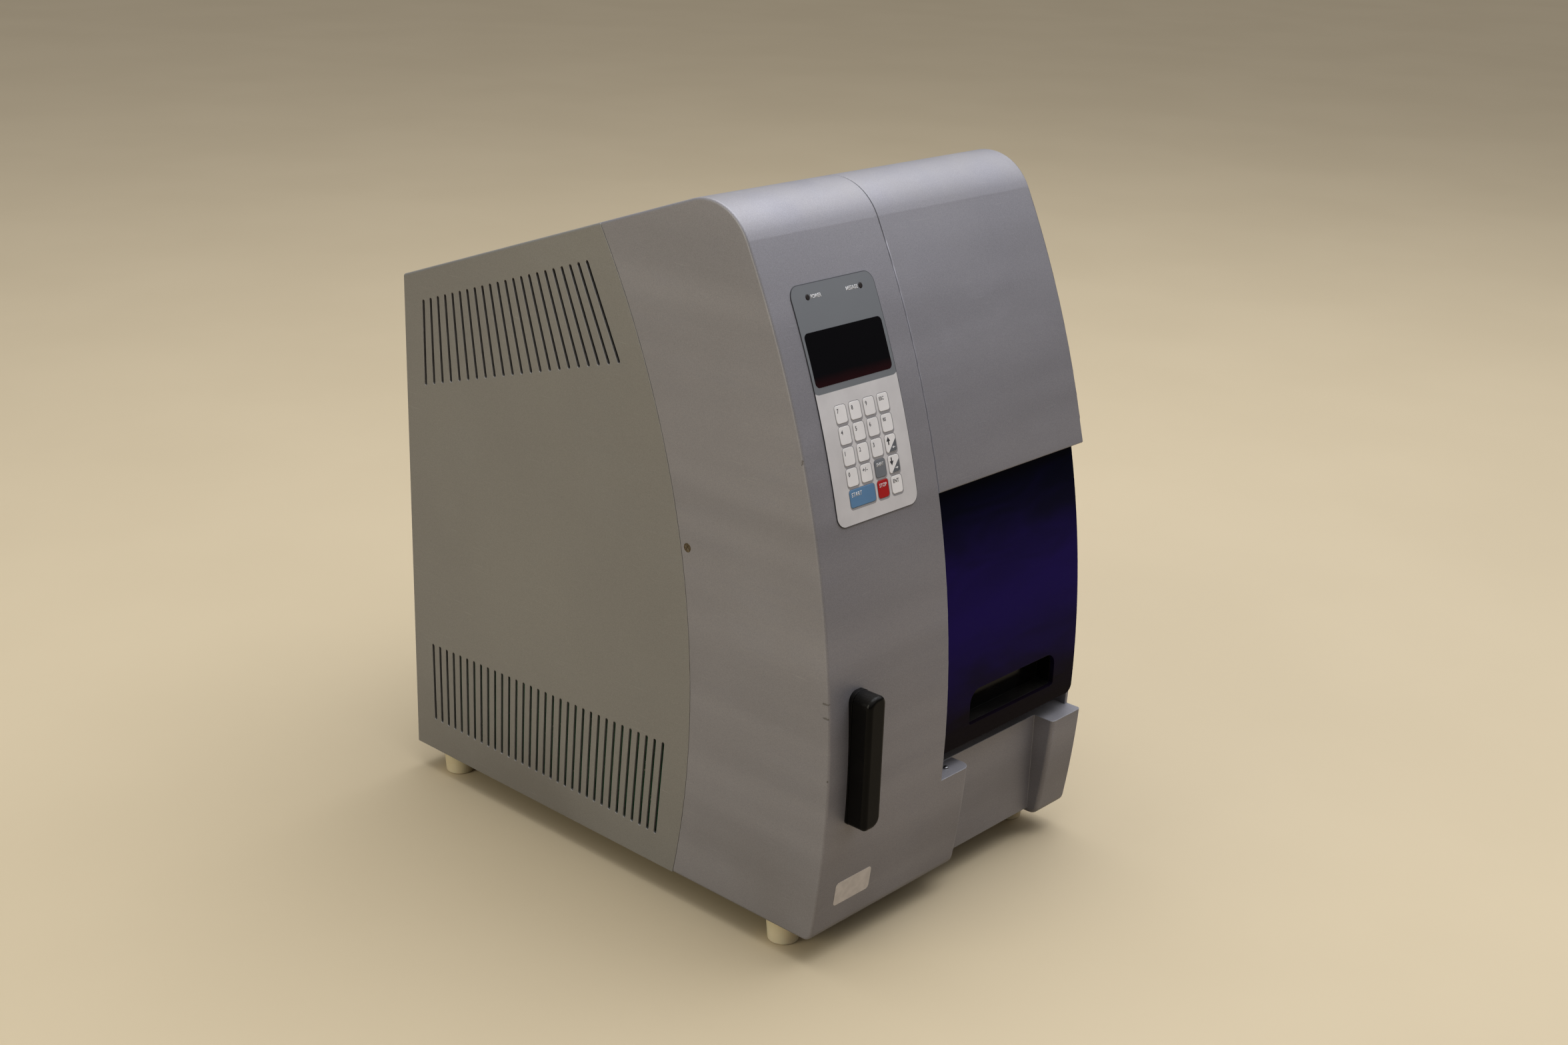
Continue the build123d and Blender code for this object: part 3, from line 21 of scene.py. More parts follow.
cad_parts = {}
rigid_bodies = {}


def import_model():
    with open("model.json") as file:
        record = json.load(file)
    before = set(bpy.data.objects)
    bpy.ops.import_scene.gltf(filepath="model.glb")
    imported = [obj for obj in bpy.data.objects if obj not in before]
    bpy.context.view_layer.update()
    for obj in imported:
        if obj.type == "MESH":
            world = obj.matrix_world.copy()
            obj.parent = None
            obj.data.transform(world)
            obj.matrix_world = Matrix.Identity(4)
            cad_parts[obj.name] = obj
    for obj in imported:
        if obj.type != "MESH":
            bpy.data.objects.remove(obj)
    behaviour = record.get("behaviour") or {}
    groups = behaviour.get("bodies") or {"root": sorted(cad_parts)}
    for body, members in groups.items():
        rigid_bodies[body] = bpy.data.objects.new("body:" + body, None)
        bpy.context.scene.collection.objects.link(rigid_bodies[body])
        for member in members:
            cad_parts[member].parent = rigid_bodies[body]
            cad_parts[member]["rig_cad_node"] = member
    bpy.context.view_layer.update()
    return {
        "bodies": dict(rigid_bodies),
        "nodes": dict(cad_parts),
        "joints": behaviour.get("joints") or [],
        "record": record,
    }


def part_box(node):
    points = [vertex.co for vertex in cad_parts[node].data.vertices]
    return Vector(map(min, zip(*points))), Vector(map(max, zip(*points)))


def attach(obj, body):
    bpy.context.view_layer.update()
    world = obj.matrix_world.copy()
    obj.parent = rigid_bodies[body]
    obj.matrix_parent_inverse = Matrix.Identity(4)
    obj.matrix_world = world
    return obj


MM = 0.001
CABINET = "cabinet"
RACK = "cartridge_rack"
MERGE_GAP = 1e-5
CORNER_SEGMENTS = 5
PRINT_THICKNESS = 0.05
LOG = logging.getLogger("extractor")

Socket = bpy.types.NodeSocket
Feed = Socket | float | int | tuple[float, ...]


# ---------------------------------------------------------------- case geometry


@dataclass(frozen=True)
class Case:
    """The cabinet's own coordinates: x from its left side, y back from its front, z up from its bottom.

    The front is a long arc about an axis along x, so a place on it needs only x and z.
    """

    front_radius: float = 817.0
    arc_height: float = 133.0
    depth: float = 473.4

    def origin(self) -> Vector:
        """Returns the frame's point where all three case coordinates are zero."""
        low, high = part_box("rear_cover")
        return Vector((low.x, high.y - self.depth * MM, low.z))

    def point(self, x: float, y: float, z: float) -> Vector:
        """Returns the frame's point for case coordinates in millimetres."""
        return self.origin() + Vector((x, y, z)) * MM

    def front(self, x: float, z: float, proud: float = 0.0) -> Matrix:
        """Returns a place on the front arc.

        Args:
            x: Distance from the left side.
            z: Height above the bottom edge.
            proud: How far in front of the arc it lies.

        Returns:
            A matrix whose X runs to the right, whose Y runs up the face and whose Z points outwards.
        """
        lean = math.asin((z - self.arc_height) / self.front_radius)
        radius = self.front_radius + proud
        y = self.front_radius - radius * math.cos(lean)
        height = self.arc_height + radius * math.sin(lean)
        right = Vector((1, 0, 0))
        up = Vector((0, math.sin(lean), math.cos(lean)))
        return facing(self.point(x, y, height), right, up)

    def height_of(self, place: Vector) -> float:
        """Returns a frame point's height in case millimetres."""
        return (place.z - self.origin().z) / MM

    def across(self, place: Vector) -> float:
        """Returns a frame point's distance from the left side in millimetres."""
        return (place.x - self.origin().x) / MM


def facing(place: Vector, right: Vector, up: Vector) -> Matrix:
    """Returns the matrix at a place whose X is right, whose Y is up and whose Z is their cross product."""
    out = right.cross(up)
    matrix = Matrix((right, up, out)).transposed().to_4x4()
    matrix.translation = place
    return matrix


CASE = Case()


# ---------------------------------------------------------------- node graphs


def tone(code: str) -> tuple[float, float, float, float]:
    """Returns the linear colour of a six-digit sRGB code."""
    parts = [int(code[i : i + 2], 16) / 255 for i in (0, 2, 4)]
    linear = [p / 12.92 if p <= 0.04045 else ((p + 0.055) / 1.055) ** 2.4 for p in parts]
    return (linear[0], linear[1], linear[2], 1.0)


class Graph:
    """Adds and joins the nodes of one material or node group."""

    def __init__(self, tree: bpy.types.NodeTree) -> None:
        """Starts on a tree, which keeps whatever nodes it has."""
        self.tree = tree

    def feed(self, socket: Socket, value: Feed) -> None:
        """Joins a socket to another, or sets its value."""
        if isinstance(value, bpy.types.NodeSocket):
            self.tree.links.new(value, socket)
        else:
            socket.default_value = value

    def add(
        self, kind: str, feeds: dict[str | int, Feed] | None = None, **settings: object
    ) -> bpy.types.Node:
        """Adds a node.

        Args:
            kind: The node's type, without its ShaderNode prefix.
            feeds: What each input socket gets, by name or number.
            **settings: The node's own properties.

        Returns:
            The new node.
        """
        node = self.tree.nodes.new("ShaderNode" + kind)
        for name, value in settings.items():
            setattr(node, name, value)
        for socket, value in (feeds or {}).items():
            self.feed(node.inputs[socket], value)
        return node

    def math(self, operation: str, *values: Feed) -> Socket:
        """Returns the result of a Math node on one to three values."""
        return self.add("Math", dict(enumerate(values)), operation=operation).outputs[0]

    def vector(self, operation: str, *values: Feed) -> bpy.types.Node:
        """Returns a Vector Math node on one or two vectors."""
        return self.add("VectorMath", dict(enumerate(values)), operation=operation)

    def noise(self, place: Feed, scale: Feed, detail: float = 2.0, bend: float = 0.0) -> Socket:
        """Returns a noise value from 0 to 1 at a place."""
        feeds = {"Vector": place, "Scale": scale, "Detail": detail, "Distortion": bend}
        return self.add("TexNoise", feeds).outputs[0]

    def cells(self, place: Feed, scale: Feed, feature: str = "F1") -> bpy.types.Node:
        """Returns a Voronoi node at a place."""
        return self.add("TexVoronoi", {"Vector": place, "Scale": scale}, feature=feature)

    def step(self, value: Feed, low: Feed, high: Feed, start: Feed = 0.0, end: Feed = 1.0) -> Socket:
        """Returns a smooth step: start up to low, end from high on."""
        feeds = {"Value": value, "From Min": low, "From Max": high, "To Min": start, "To Max": end}
        return self.add("MapRange", feeds, interpolation_type="SMOOTHSTEP").outputs[0]

    def blend(self, share: Feed, first: Feed, second: Feed, mode: str = "MIX") -> Socket:
        """Returns the colour between two, by share."""
        feeds = {0: share, 6: first, 7: second}
        return self.add("Mix", feeds, data_type="RGBA", blend_type=mode).outputs[2]

    def bump(self, height: Feed, depth: float, strength: float = 1.0, base: Feed | None = None) -> Socket:
        """Returns the normal of a relief whose height runs over a depth in metres."""
        feeds = {"Height": height, "Distance": depth, "Strength": strength}
        if base is not None:
            feeds["Normal"] = base
        return self.add("Bump", feeds).outputs[0]

    def turned(self, place: Feed, turn: tuple[float, ...], scale: tuple[float, ...]) -> Socket:
        """Returns a place turned by degrees about X, Y and Z, then scaled."""
        feeds = {"Vector": place, "Rotation": tuple(map(math.radians, turn)), "Scale": scale}
        return self.add("Mapping", feeds).outputs[0]

    def mottle(self, place: Feed, scale: float, detail: float, first: str, second: str) -> Socket:
        """Returns two sRGB codes blended in soft patches."""
        return self.blend(self.step(self.noise(place, scale, detail), 0.3, 0.7), tone(first), tone(second))

    def patch(self, place: Feed, centre: Vector, half: tuple[float, ...], radius: float) -> Socket:
        """Returns the mask of a block with rounded edges; its middle and sizes are in metres."""
        values = {"vector": place, "centre": tuple(centre), "half": half, "radius": radius}
        return self.effect(Effect.ROUNDED_PATCH, **values).outputs[0]

    def axis(self, place: Feed, name: str) -> Socket:
        """Returns one coordinate of a place."""
        return self.add("SeparateXYZ", {0: place}).outputs[name]

    def effect(self, effect: Effect, **values: Feed) -> bpy.types.Node:
        """Places a shared effect and returns its node."""
        node = self.tree.nodes.new("ShaderNodeGroup")
        node.node_tree = EFFECTS.tree(effect)
        for name, value in values.items():
            self.feed(node.inputs[name.replace("_", " ").title()], value)
        return node


class Effect(Enum):
    """The surface effects that several finishes share."""

    EDGE_WEAR = "edge wear"
    PAINT_GRAIN = "paint grain"
    DUST = "dust"
    SMUDGES = "smudges"
    SCRATCHES = "scratches"
    BRUSHED = "brushed"
    ROUNDED_PATCH = "rounded patch"


class EffectKit:
    """Builds each shared effect's node group the first time that a finish asks for it."""

    def __init__(self) -> None:
        """Starts with no group made."""
        self.made: dict[Effect, bpy.types.NodeTree] = {}
        self.makers: dict[Effect, Callable[[Effect], bpy.types.NodeTree]] = {
            Effect.EDGE_WEAR: self.edge_wear,
            Effect.PAINT_GRAIN: self.paint_grain,
            Effect.DUST: self.dust,
            Effect.SMUDGES: self.smudges,
            Effect.SCRATCHES: self.scratches,
            Effect.BRUSHED: self.brushed,
            Effect.ROUNDED_PATCH: self.rounded_patch,
        }

    def tree(self, effect: Effect) -> bpy.types.NodeTree:
        """Returns an effect's node group."""
        if effect not in self.made:
            self.made[effect] = self.makers[effect](effect)
        return self.made[effect]

    def start(
        self, effect: Effect, inputs: dict[str, Feed], outputs: dict[str, str]
    ) -> tuple[Graph, bpy.types.Node, bpy.types.Node]:
        """Starts a group.

        Args:
            effect: The effect that it holds.
            inputs: Each input's name and starting value, a tuple for a vector.
            outputs: Each output's name and kind: Float, Vector or Color.

        Returns:
            The group's graph, its input node and its output node.
        """
        tree = bpy.data.node_groups.new(effect.value, "ShaderNodeTree")
        for name, value in inputs.items():
            kind = "Vector" if isinstance(value, tuple) else "Float"
            socket = tree.interface.new_socket(name, in_out="INPUT", socket_type="NodeSocket" + kind)
            socket.default_value = value
        for name, kind in outputs.items():
            tree.interface.new_socket(name, in_out="OUTPUT", socket_type="NodeSocket" + kind)
        return Graph(tree), tree.nodes.new("NodeGroupInput"), tree.nodes.new("NodeGroupOutput")

    def edge_wear(self, effect: Effect) -> bpy.types.NodeTree:
        """Rounded edges: a mask along them, the same broken up by wear, and the normal that rounds them."""
        inputs = {"Vector": (0.0, 0.0, 0.0), "Radius": 0.001, "Patches": 70.0}
        outputs = {"Mask": "Float", "Edge": "Float", "Normal": "Vector"}
        graph, entry, out = self.start(effect, inputs, outputs)
        rounded = graph.add("Bevel", {"Radius": entry.outputs["Radius"]}, samples=6).outputs[0]
        flat = graph.add("NewGeometry").outputs["Normal"]
        turn = graph.math("SUBTRACT", 1.0, graph.vector("DOT_PRODUCT", rounded, flat).outputs["Value"])
        edge = graph.step(turn, 0.015, 0.28)
        patches = graph.noise(entry.outputs["Vector"], entry.outputs["Patches"], 5.0)
        graph.feed(out.inputs["Mask"], graph.math("MULTIPLY", edge, graph.step(patches, 0.38, 0.66)))
        graph.feed(out.inputs["Edge"], edge)
        graph.feed(out.inputs["Normal"], rounded)
        return graph.tree

    def paint_grain(self, effect: Effect) -> bpy.types.NodeTree:
        """Sprayed paint: the height of its orange peel, and the sparkle of its flakes."""
        inputs = {"Vector": (0.0, 0.0, 0.0), "Scale": 420.0}
        graph, entry, out = self.start(effect, inputs, {"Height": "Float", "Flake": "Float"})
        place, scale = entry.outputs["Vector"], entry.outputs["Scale"]
        coarse = graph.noise(place, scale)
        fine = graph.noise(place, graph.math("MULTIPLY", scale, 4.0))
        graph.feed(out.inputs["Height"], graph.math("MULTIPLY_ADD", fine, 0.4, coarse))
        flakes = graph.cells(place, graph.math("MULTIPLY", scale, 7.0)).outputs["Color"]
        graph.feed(out.inputs["Flake"], graph.add("SeparateColor", {0: flakes}).outputs[0])
        return graph.tree

    def dust(self, effect: Effect) -> bpy.types.NodeTree:
        """Dust that settles on what faces up, in soft patches."""
        inputs = {"Vector": (0.0, 0.0, 0.0), "Amount": 0.3}
        graph, entry, out = self.start(effect, inputs, {"Mask": "Float"})
        normal = graph.add("NewGeometry").outputs["Normal"]
        up = graph.step(graph.axis(normal, "Z"), 0.25, 0.95)
        patches = graph.step(graph.noise(entry.outputs["Vector"], 22.0, 6.0), 0.25, 0.8)
        specks = graph.step(graph.noise(entry.outputs["Vector"], 900.0, 3.0), 0.45, 0.75)
        spread = graph.math("MULTIPLY", graph.math("MULTIPLY_ADD", specks, 0.5, patches), up)
        graph.feed(out.inputs["Mask"], graph.math("MULTIPLY", spread, entry.outputs["Amount"]))
        return graph.tree

    def smudges(self, effect: Effect) -> bpy.types.NodeTree:
        """Hazy marks of handling and wiping."""
        inputs = {"Vector": (0.0, 0.0, 0.0), "Scale": 18.0}
        graph, entry, out = self.start(effect, inputs, {"Mask": "Float"})
        broad = graph.noise(entry.outputs["Vector"], entry.outputs["Scale"], 4.0, 1.6)
        wiped = graph.turned(entry.outputs["Vector"], (20, 0, 35), (1, 1, 7))
        swipes = graph.noise(wiped, graph.math("MULTIPLY", entry.outputs["Scale"], 2.0), 3.0)
        both = graph.math("MULTIPLY", graph.step(broad, 0.38, 0.72), graph.step(swipes, 0.3, 0.75))
        graph.feed(out.inputs["Mask"], both)
        return graph.tree

    def scratches(self, effect: Effect) -> bpy.types.NodeTree:
        """Fine hairline scratches in two directions."""
        inputs = {"Vector": (0.0, 0.0, 0.0), "Scale": 30.0}
        graph, entry, out = self.start(effect, inputs, {"Mask": "Float"})
        lines = []
        for turn in ((12, 8, 25), (-18, 31, -40)):
            drawn = graph.turned(entry.outputs["Vector"], turn, (1, 1, 34))
            lines.append(graph.step(graph.noise(drawn, entry.outputs["Scale"], 1.0), 0.7, 0.78))
        areas = graph.step(graph.noise(entry.outputs["Vector"], 25.0), 0.4, 0.7)
        graph.feed(out.inputs["Mask"], graph.math("MULTIPLY", graph.math("MAXIMUM", *lines), areas))
        return graph.tree

    def brushed(self, effect: Effect) -> bpy.types.NodeTree:
        """Machined metal: lines drawn out along the axis whose stretch is small."""
        inputs = {"Vector": (0.0, 0.0, 0.0), "Stretch": (1.0, 1.0, 1.0), "Scale": 260.0}
        graph, entry, out = self.start(effect, inputs, {"Height": "Float", "Tone": "Float"})
        drawn = graph.vector("MULTIPLY", entry.outputs["Vector"], entry.outputs["Stretch"]).outputs[0]
        lines = graph.noise(drawn, entry.outputs["Scale"], 4.0)
        broad = graph.noise(drawn, graph.math("MULTIPLY", entry.outputs["Scale"], 0.12), 3.0)
        graph.feed(out.inputs["Height"], lines)
        broad = graph.math("MULTIPLY", broad, 0.6)
        graph.feed(out.inputs["Tone"], graph.math("MULTIPLY_ADD", lines, 0.4, broad))
        return graph.tree

    def rounded_patch(self, effect: Effect) -> bpy.types.NodeTree:
        """A block with rounded edges, 1 inside it and 0 outside: a printed field, a chip or a nick."""
        nought = (0.0, 0.0, 0.0)
        inputs = {"Vector": nought, "Centre": nought, "Half": nought, "Radius": 0.001, "Soft": 0.0002}
        graph, entry, out = self.start(effect, inputs, {"Mask": "Float"})
        radius = entry.outputs["Radius"]
        offset = graph.vector("SUBTRACT", entry.outputs["Vector"], entry.outputs["Centre"]).outputs[0]
        beyond = graph.vector("SUBTRACT", graph.vector("ABSOLUTE", offset).outputs[0], entry.outputs["Half"])
        past = graph.vector("ADD", beyond.outputs[0], radius).outputs[0]
        outside = graph.vector("LENGTH", graph.vector("MAXIMUM", past, nought).outputs[0]).outputs["Value"]
        axes = graph.add("SeparateXYZ", {0: past})
        nearest = graph.math("MAXIMUM", axes.outputs[0], axes.outputs[1])
        nearest = graph.math("MAXIMUM", nearest, axes.outputs[2])
        gap = graph.math("SUBTRACT", graph.math("ADD", outside, graph.math("MINIMUM", nearest, 0.0)), radius)
        graph.feed(out.inputs["Mask"], graph.step(gap, 0.0, entry.outputs["Soft"], 1.0, 0.0))
        return graph.tree


EFFECTS = EffectKit()


# ---------------------------------------------------------------- finishes


@dataclass(frozen=True)
class Finish:
    """What every finish has: a name, and the sRGB codes of its main and its second tone."""

    name: str
    main: str
    second: str

    def build(self) -> bpy.types.Material:
        """Makes the material and dresses its shader.

        Returns:
            The material.
        """
        material = bpy.data.materials.new(self.name)
        material.use_nodes = True
        graph = Graph(material.node_tree)
        shader = next(n for n in material.node_tree.nodes if n.type == "BSDF_PRINCIPLED")
        place = graph.add("TexCoord").outputs["Object"]
        for socket, value in self.dress(graph, place).items():
            graph.feed(shader.inputs[socket], value)
        return material

    def dress(self, graph: Graph, place: Socket) -> dict[str, Feed]:
        """Returns what the Principled shader's sockets get, by name."""
        raise NotImplementedError


@dataclass(frozen=True)
class Nick:
    """A place where the paint is knocked off: its middle and half sizes in case millimetres."""

    x: float
    y: float
    z: float
    half: tuple[float, float, float]


@dataclass(frozen=True)
class MetallicPaint(Finish):
    """Metallic lacquer over a moulding or a folded sheet."""

    metallic: float = 0.55
    roughness: float = 0.4
    coat: float = 0.15
    flake: float = 0.10
    peel: float = 0.00006
    edge_radius: float = 0.9
    painted_edge_highlight: float = 0.5
    edge_tone: str = "d2d2d6"
    low_tone: str = "6e675c"
    low_tone_rise: tuple[float, float] = (0.03, 0.11)
    low_tone_share: float = 0.35
    dust: float = 0.22
    dust_tone: str = "b5afa3"
    scratch_tone: str = "dadada"
    chip_tone: str = "5a554d"
    chip_depth: float = 4.0
    ragged: float = 1.6
    shadow_streaks: float = 0.0
    nicks: tuple[Nick, ...] = ()

    def dress(self, graph: Graph, place: Socket) -> dict[str, Feed]:
        """Returns the lacquer's colour, its sheen, and the normal of its grain and soft edges; the colour
        carries a painted highlight along every edge, and painted shadow streaks where they are set.
        """
        grain = graph.effect(Effect.PAINT_GRAIN, vector=place)
        wear = graph.effect(Effect.EDGE_WEAR, vector=place, radius=self.edge_radius * MM)
        smudges = graph.effect(Effect.SMUDGES, vector=place, scale=9.0).outputs[0]
        dust = graph.effect(Effect.DUST, vector=place, amount=self.dust).outputs[0]
        scratches = graph.effect(Effect.SCRATCHES, vector=place).outputs[0]
        cloud = graph.step(graph.noise(place, 5.0, 4.0), 0.3, 0.7)
        colour = graph.blend(cloud, tone(self.main), tone(self.second))
        sparkle = graph.step(grain.outputs["Flake"], 0.0, 1.0, 1.0 - self.flake, 1.0 + self.flake)
        colour = graph.blend(1.0, colour, sparkle, "MULTIPLY")
        if self.shadow_streaks:
            # Painted shadow: soft diagonal bands that make the paint darker and lighter, as the room's light
            # falls across it in streaks.
            drawn = graph.turned(place, (0, 42, 0), (0.7, 0.5, 9.0))
            band = graph.step(graph.noise(drawn, 3.2, 1.0), 0.3, 0.7, 1.0 - self.shadow_streaks, 1.0 + self.shadow_streaks)
            colour = graph.blend(1.0, colour, band, "MULTIPLY")
        # Darker and browner towards the bottom, in soft patches.
        low = graph.step(graph.axis(place, "Z"), *self.low_tone_rise, self.low_tone_share, 0.0)
        colour = graph.blend(graph.math("MULTIPLY", low, cloud), colour, tone(self.low_tone))
        # Painted highlight: every rounded edge is lightened towards the edge tone along its whole length, as
        # where edges catch the lamps; the broken-up mask adds real rubbed edges on top.
        edge = graph.math("MULTIPLY", wear.outputs["Edge"], self.painted_edge_highlight)
        edge_tone_share = graph.math("MULTIPLY_ADD", wear.outputs["Mask"], 0.3, edge)
        colour = graph.blend(edge_tone_share, colour, tone(self.edge_tone))
        colour = graph.blend(dust, colour, tone(self.dust_tone))
        colour = graph.blend(graph.math("MULTIPLY", scratches, 0.10), colour, tone(self.scratch_tone))
        sheen = graph.math("MULTIPLY_ADD", smudges, 0.10, self.roughness)
        sheen = graph.math("MULTIPLY_ADD", dust, 0.35, sheen)
        height = grain.outputs["Height"]
        for nick in self.nicks:
            chipped = self.chipped(graph, place, nick)
            colour = graph.blend(graph.math("MULTIPLY", chipped, 0.6), colour, tone(self.chip_tone))
            height = graph.math("MULTIPLY_ADD", chipped, -self.chip_depth, height)
        normal = graph.bump(height, self.peel, base=wear.outputs["Normal"])
        return {
            "Base Color": colour,
            "Metallic": self.metallic,
            "Roughness": sheen,
            "Coat Weight": self.coat,
            "Coat Roughness": 0.3,
            "Normal": normal,
        }

    def chipped(self, graph: Graph, place: Socket, nick: Nick) -> Socket:
        """Returns the mask of one nick, with a ragged edge."""
        ragged = graph.vector("SCALE", graph.add("TexNoise", {"Vector": place, "Scale": 500.0}).outputs[1])
        ragged.inputs["Scale"].default_value = self.ragged * MM
        moved = graph.vector("ADD", place, ragged.outputs[0]).outputs[0]
        shift = Vector((1, 1, 1)) * (self.ragged / 2) * MM
        half = tuple(size * MM for size in nick.half)
        return graph.patch(moved, CASE.point(nick.x, nick.y, nick.z) + shift, half, min(half))


@dataclass(frozen=True)
class Plastic(Finish):
    """Moulded or printed plastic, from matt and grained to glossy."""

    roughness: float = 0.5
    grain: float = 900.0
    relief: float = 0.00003
    coat: float = 0.0
    dust: float = 0.15
    wear: float = 0.3
    edge_tone: str = "d8d4c8"
    edge_radius: float = 0.5
    haze: float = 0.12
    dust_tone: str = "a9a294"
    specular: float = 0.5
    subsurface: float = 0.0

    def colour(self, graph: Graph, place: Socket) -> Socket:
        """Returns the plastic's colour before wear and dust."""
        return graph.mottle(place, 30.0, 5.0, self.main, self.second)

    def dress(self, graph: Graph, place: Socket) -> dict[str, Feed]:
        """Returns the plastic's colour, its sheen and its grain."""
        wear = graph.effect(Effect.EDGE_WEAR, vector=place, radius=self.edge_radius * MM, patches=160.0)
        smudges = graph.effect(Effect.SMUDGES, vector=place, scale=26.0).outputs[0]
        dust = graph.effect(Effect.DUST, vector=place, amount=self.dust).outputs[0]
        scratches = graph.effect(Effect.SCRATCHES, vector=place, scale=60.0).outputs[0]
        colour = self.colour(graph, place)
        edge_tone_share = graph.math("MULTIPLY", wear.outputs["Mask"], self.wear)
        colour = graph.blend(edge_tone_share, colour, tone(self.edge_tone))
        colour = graph.blend(dust, colour, tone(self.dust_tone))
        sheen = graph.math("MULTIPLY_ADD", smudges, self.haze, self.roughness)
        sheen = graph.math("MULTIPLY_ADD", scratches, 0.2, graph.math("MULTIPLY_ADD", dust, 0.5, sheen))
        grain = graph.noise(place, self.grain, 3.0)
        height = graph.math("MULTIPLY_ADD", scratches, -0.5, grain)
        return {
            "Base Color": colour,
            "Roughness": sheen,
            "Coat Weight": self.coat,
            "Coat Roughness": 0.08,
            "Specular IOR Level": self.specular,
            "Subsurface Weight": self.subsurface,
            "Subsurface Scale": 2 * MM,
            "Normal": graph.bump(height, self.relief, base=wear.outputs["Normal"]),
        }


@dataclass(frozen=True)
class PrintedFilm(Plastic):
    """The keypad's film: a darker field over a pale one, inside a thin line of painted shadow round its
    border.
    """

    field_x: tuple[float, float] = (20.0, 113.8)
    field_z: tuple[float, float] = (407.0, 490.0)
    corner: float = 8.0
    gap_shadow: tuple[float, float] = (8.5, 0.5)
    gap_shadow_tone: str = "34353a"
    pale_second: str = "cecac8"
    ring: tuple[float, float] = (0.6, 0.35)
    ring_corner: float = 2.8
    ring_tone: str = "8a8788"
    ring_share: float = 0.85
    reach: float = 1.0

    def colour(self, graph: Graph, place: Socket) -> Socket:
        """Returns the two printed fields, their grain, a thin line of painted shadow round the border, and a
        grey ring round each key.
        """
        low, high = (CASE.point(x, 0, z) for x, z in zip(self.field_x, self.field_z))
        pale = graph.mottle(place, 45.0, 5.0, self.main, self.pale_second)
        for node in sorted(frame_nodes("key_")):
            ring = self.field(graph, place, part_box(node), self.ring, self.ring_corner)
            pale = graph.blend(graph.math("MULTIPLY", ring, self.ring_share), pale, tone(self.ring_tone))
        upper = self.field(graph, place, (low, high), (0.0, 0.0), self.corner)
        printed = graph.blend(upper, pale, tone(self.second))
        # Painted shadow: a thin dark line all round the film's border, as in the gap at its edge.
        corner, line = self.gap_shadow
        inner = self.field(graph, place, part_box("panel_overlay"), (-line, -line), corner - line)
        return graph.blend(inner, tone(self.gap_shadow_tone), printed)

    def field(
        self,
        graph: Graph,
        place: Socket,
        box: tuple[Vector, Vector],
        grown: tuple[float, float],
        corner: float,
    ) -> Socket:
        """Returns the mask of a printed field.

        Args:
            graph: The material's graph.
            place: The place on the surface.
            box: The low and high corners that it covers, in metres.
            grown: How far it runs past them across and up, in millimetres.
            corner: Its corner radius in millimetres.

        Returns:
            The mask, 1 inside.
        """
        low, high = box
        size = (high - low) / 2
        half = (size.x + grown[0] * MM, self.reach, size.z + grown[1] * MM)
        return graph.patch(place, (low + high) / 2, half, corner * MM)


@dataclass(frozen=True)
class Metal(Finish):
    """Bare metal with the lines of its machining."""

    roughness: float = 0.32
    stretch: tuple[float, float, float] = (0.04, 1.0, 1.0)
    lines: float = 240.0
    relief: float = 0.00001
    dust: float = 0.1

    def dress(self, graph: Graph, place: Socket) -> dict[str, Feed]:
        """Returns the metal's colour, its sheen and its lines."""
        drawn = graph.effect(Effect.BRUSHED, vector=place, stretch=self.stretch, scale=self.lines)
        wear = graph.effect(Effect.EDGE_WEAR, vector=place, radius=0.4 * MM, patches=200.0)
        dust = graph.effect(Effect.DUST, vector=place, amount=self.dust).outputs[0]
        smudges = graph.effect(Effect.SMUDGES, vector=place, scale=30.0).outputs[0]
        colour = graph.blend(graph.step(drawn.outputs["Tone"], 0.3, 0.7), tone(self.main), tone(self.second))
        colour = graph.blend(dust, colour, tone("8f897c"))
        sheen = graph.math("MULTIPLY_ADD", drawn.outputs["Tone"], 0.16, self.roughness - 0.08)
        sheen = graph.math("MULTIPLY_ADD", smudges, 0.12, graph.math("MULTIPLY_ADD", dust, 0.4, sheen))
        return {
            "Base Color": colour,
            "Metallic": 1.0,
            "Roughness": sheen,
            "Normal": graph.bump(drawn.outputs["Height"], self.relief, base=wear.outputs["Normal"]),
        }


@dataclass(frozen=True)
class TintedAcrylic(Finish):
    """The door's dark blue-violet acrylic, nearly opaque from outside."""

    reflected_violet: str = "1d0f52"

    def dress(self, graph: Graph, place: Socket) -> dict[str, Feed]:
        """Returns the door's colour over its height, with painted reflections in it, and its polished,
        handled surface.
        """
        # Painted reflections: a brownish reflection of the floor low on the door, navy above, and a wandering
        # violet band of painted reflection across the middle.
        height = graph.axis(place, "Z")
        wander = graph.noise(graph.turned(place, (0, 20, 0), (1.6, 1, 5)), 7.0, 2.0, 0.6)
        level = graph.math("MULTIPLY_ADD", wander, 0.07, height)
        rising = graph.step(level, 0.17, 0.26)
        falling = graph.step(level, 0.27, 0.36, 1.0, 0.0)
        share = graph.math("MULTIPLY", rising, falling)
        colour = graph.blend(graph.step(height, 0.15, 0.33), tone(self.second), tone(self.main))
        colour = graph.blend(share, colour, tone(self.reflected_violet))
        smudges = graph.effect(Effect.SMUDGES, vector=place, scale=14.0).outputs[0]
        scratches = graph.effect(Effect.SCRATCHES, vector=place, scale=45.0).outputs[0]
        wear = graph.effect(Effect.EDGE_WEAR, vector=place, radius=0.5 * MM)
        sheen = graph.math("MULTIPLY_ADD", smudges, 0.07, 0.05)
        sheen = graph.math("MULTIPLY_ADD", scratches, 0.12, sheen)
        ripple = graph.noise(place, 16.0, 1.0)
        return {
            "Base Color": colour,
            "Roughness": sheen,
            "Transmission Weight": 0.08,
            "Specular IOR Level": 0.01,
            "Normal": graph.bump(ripple, 0.0003, 0.3, base=wear.outputs["Normal"]),
        }


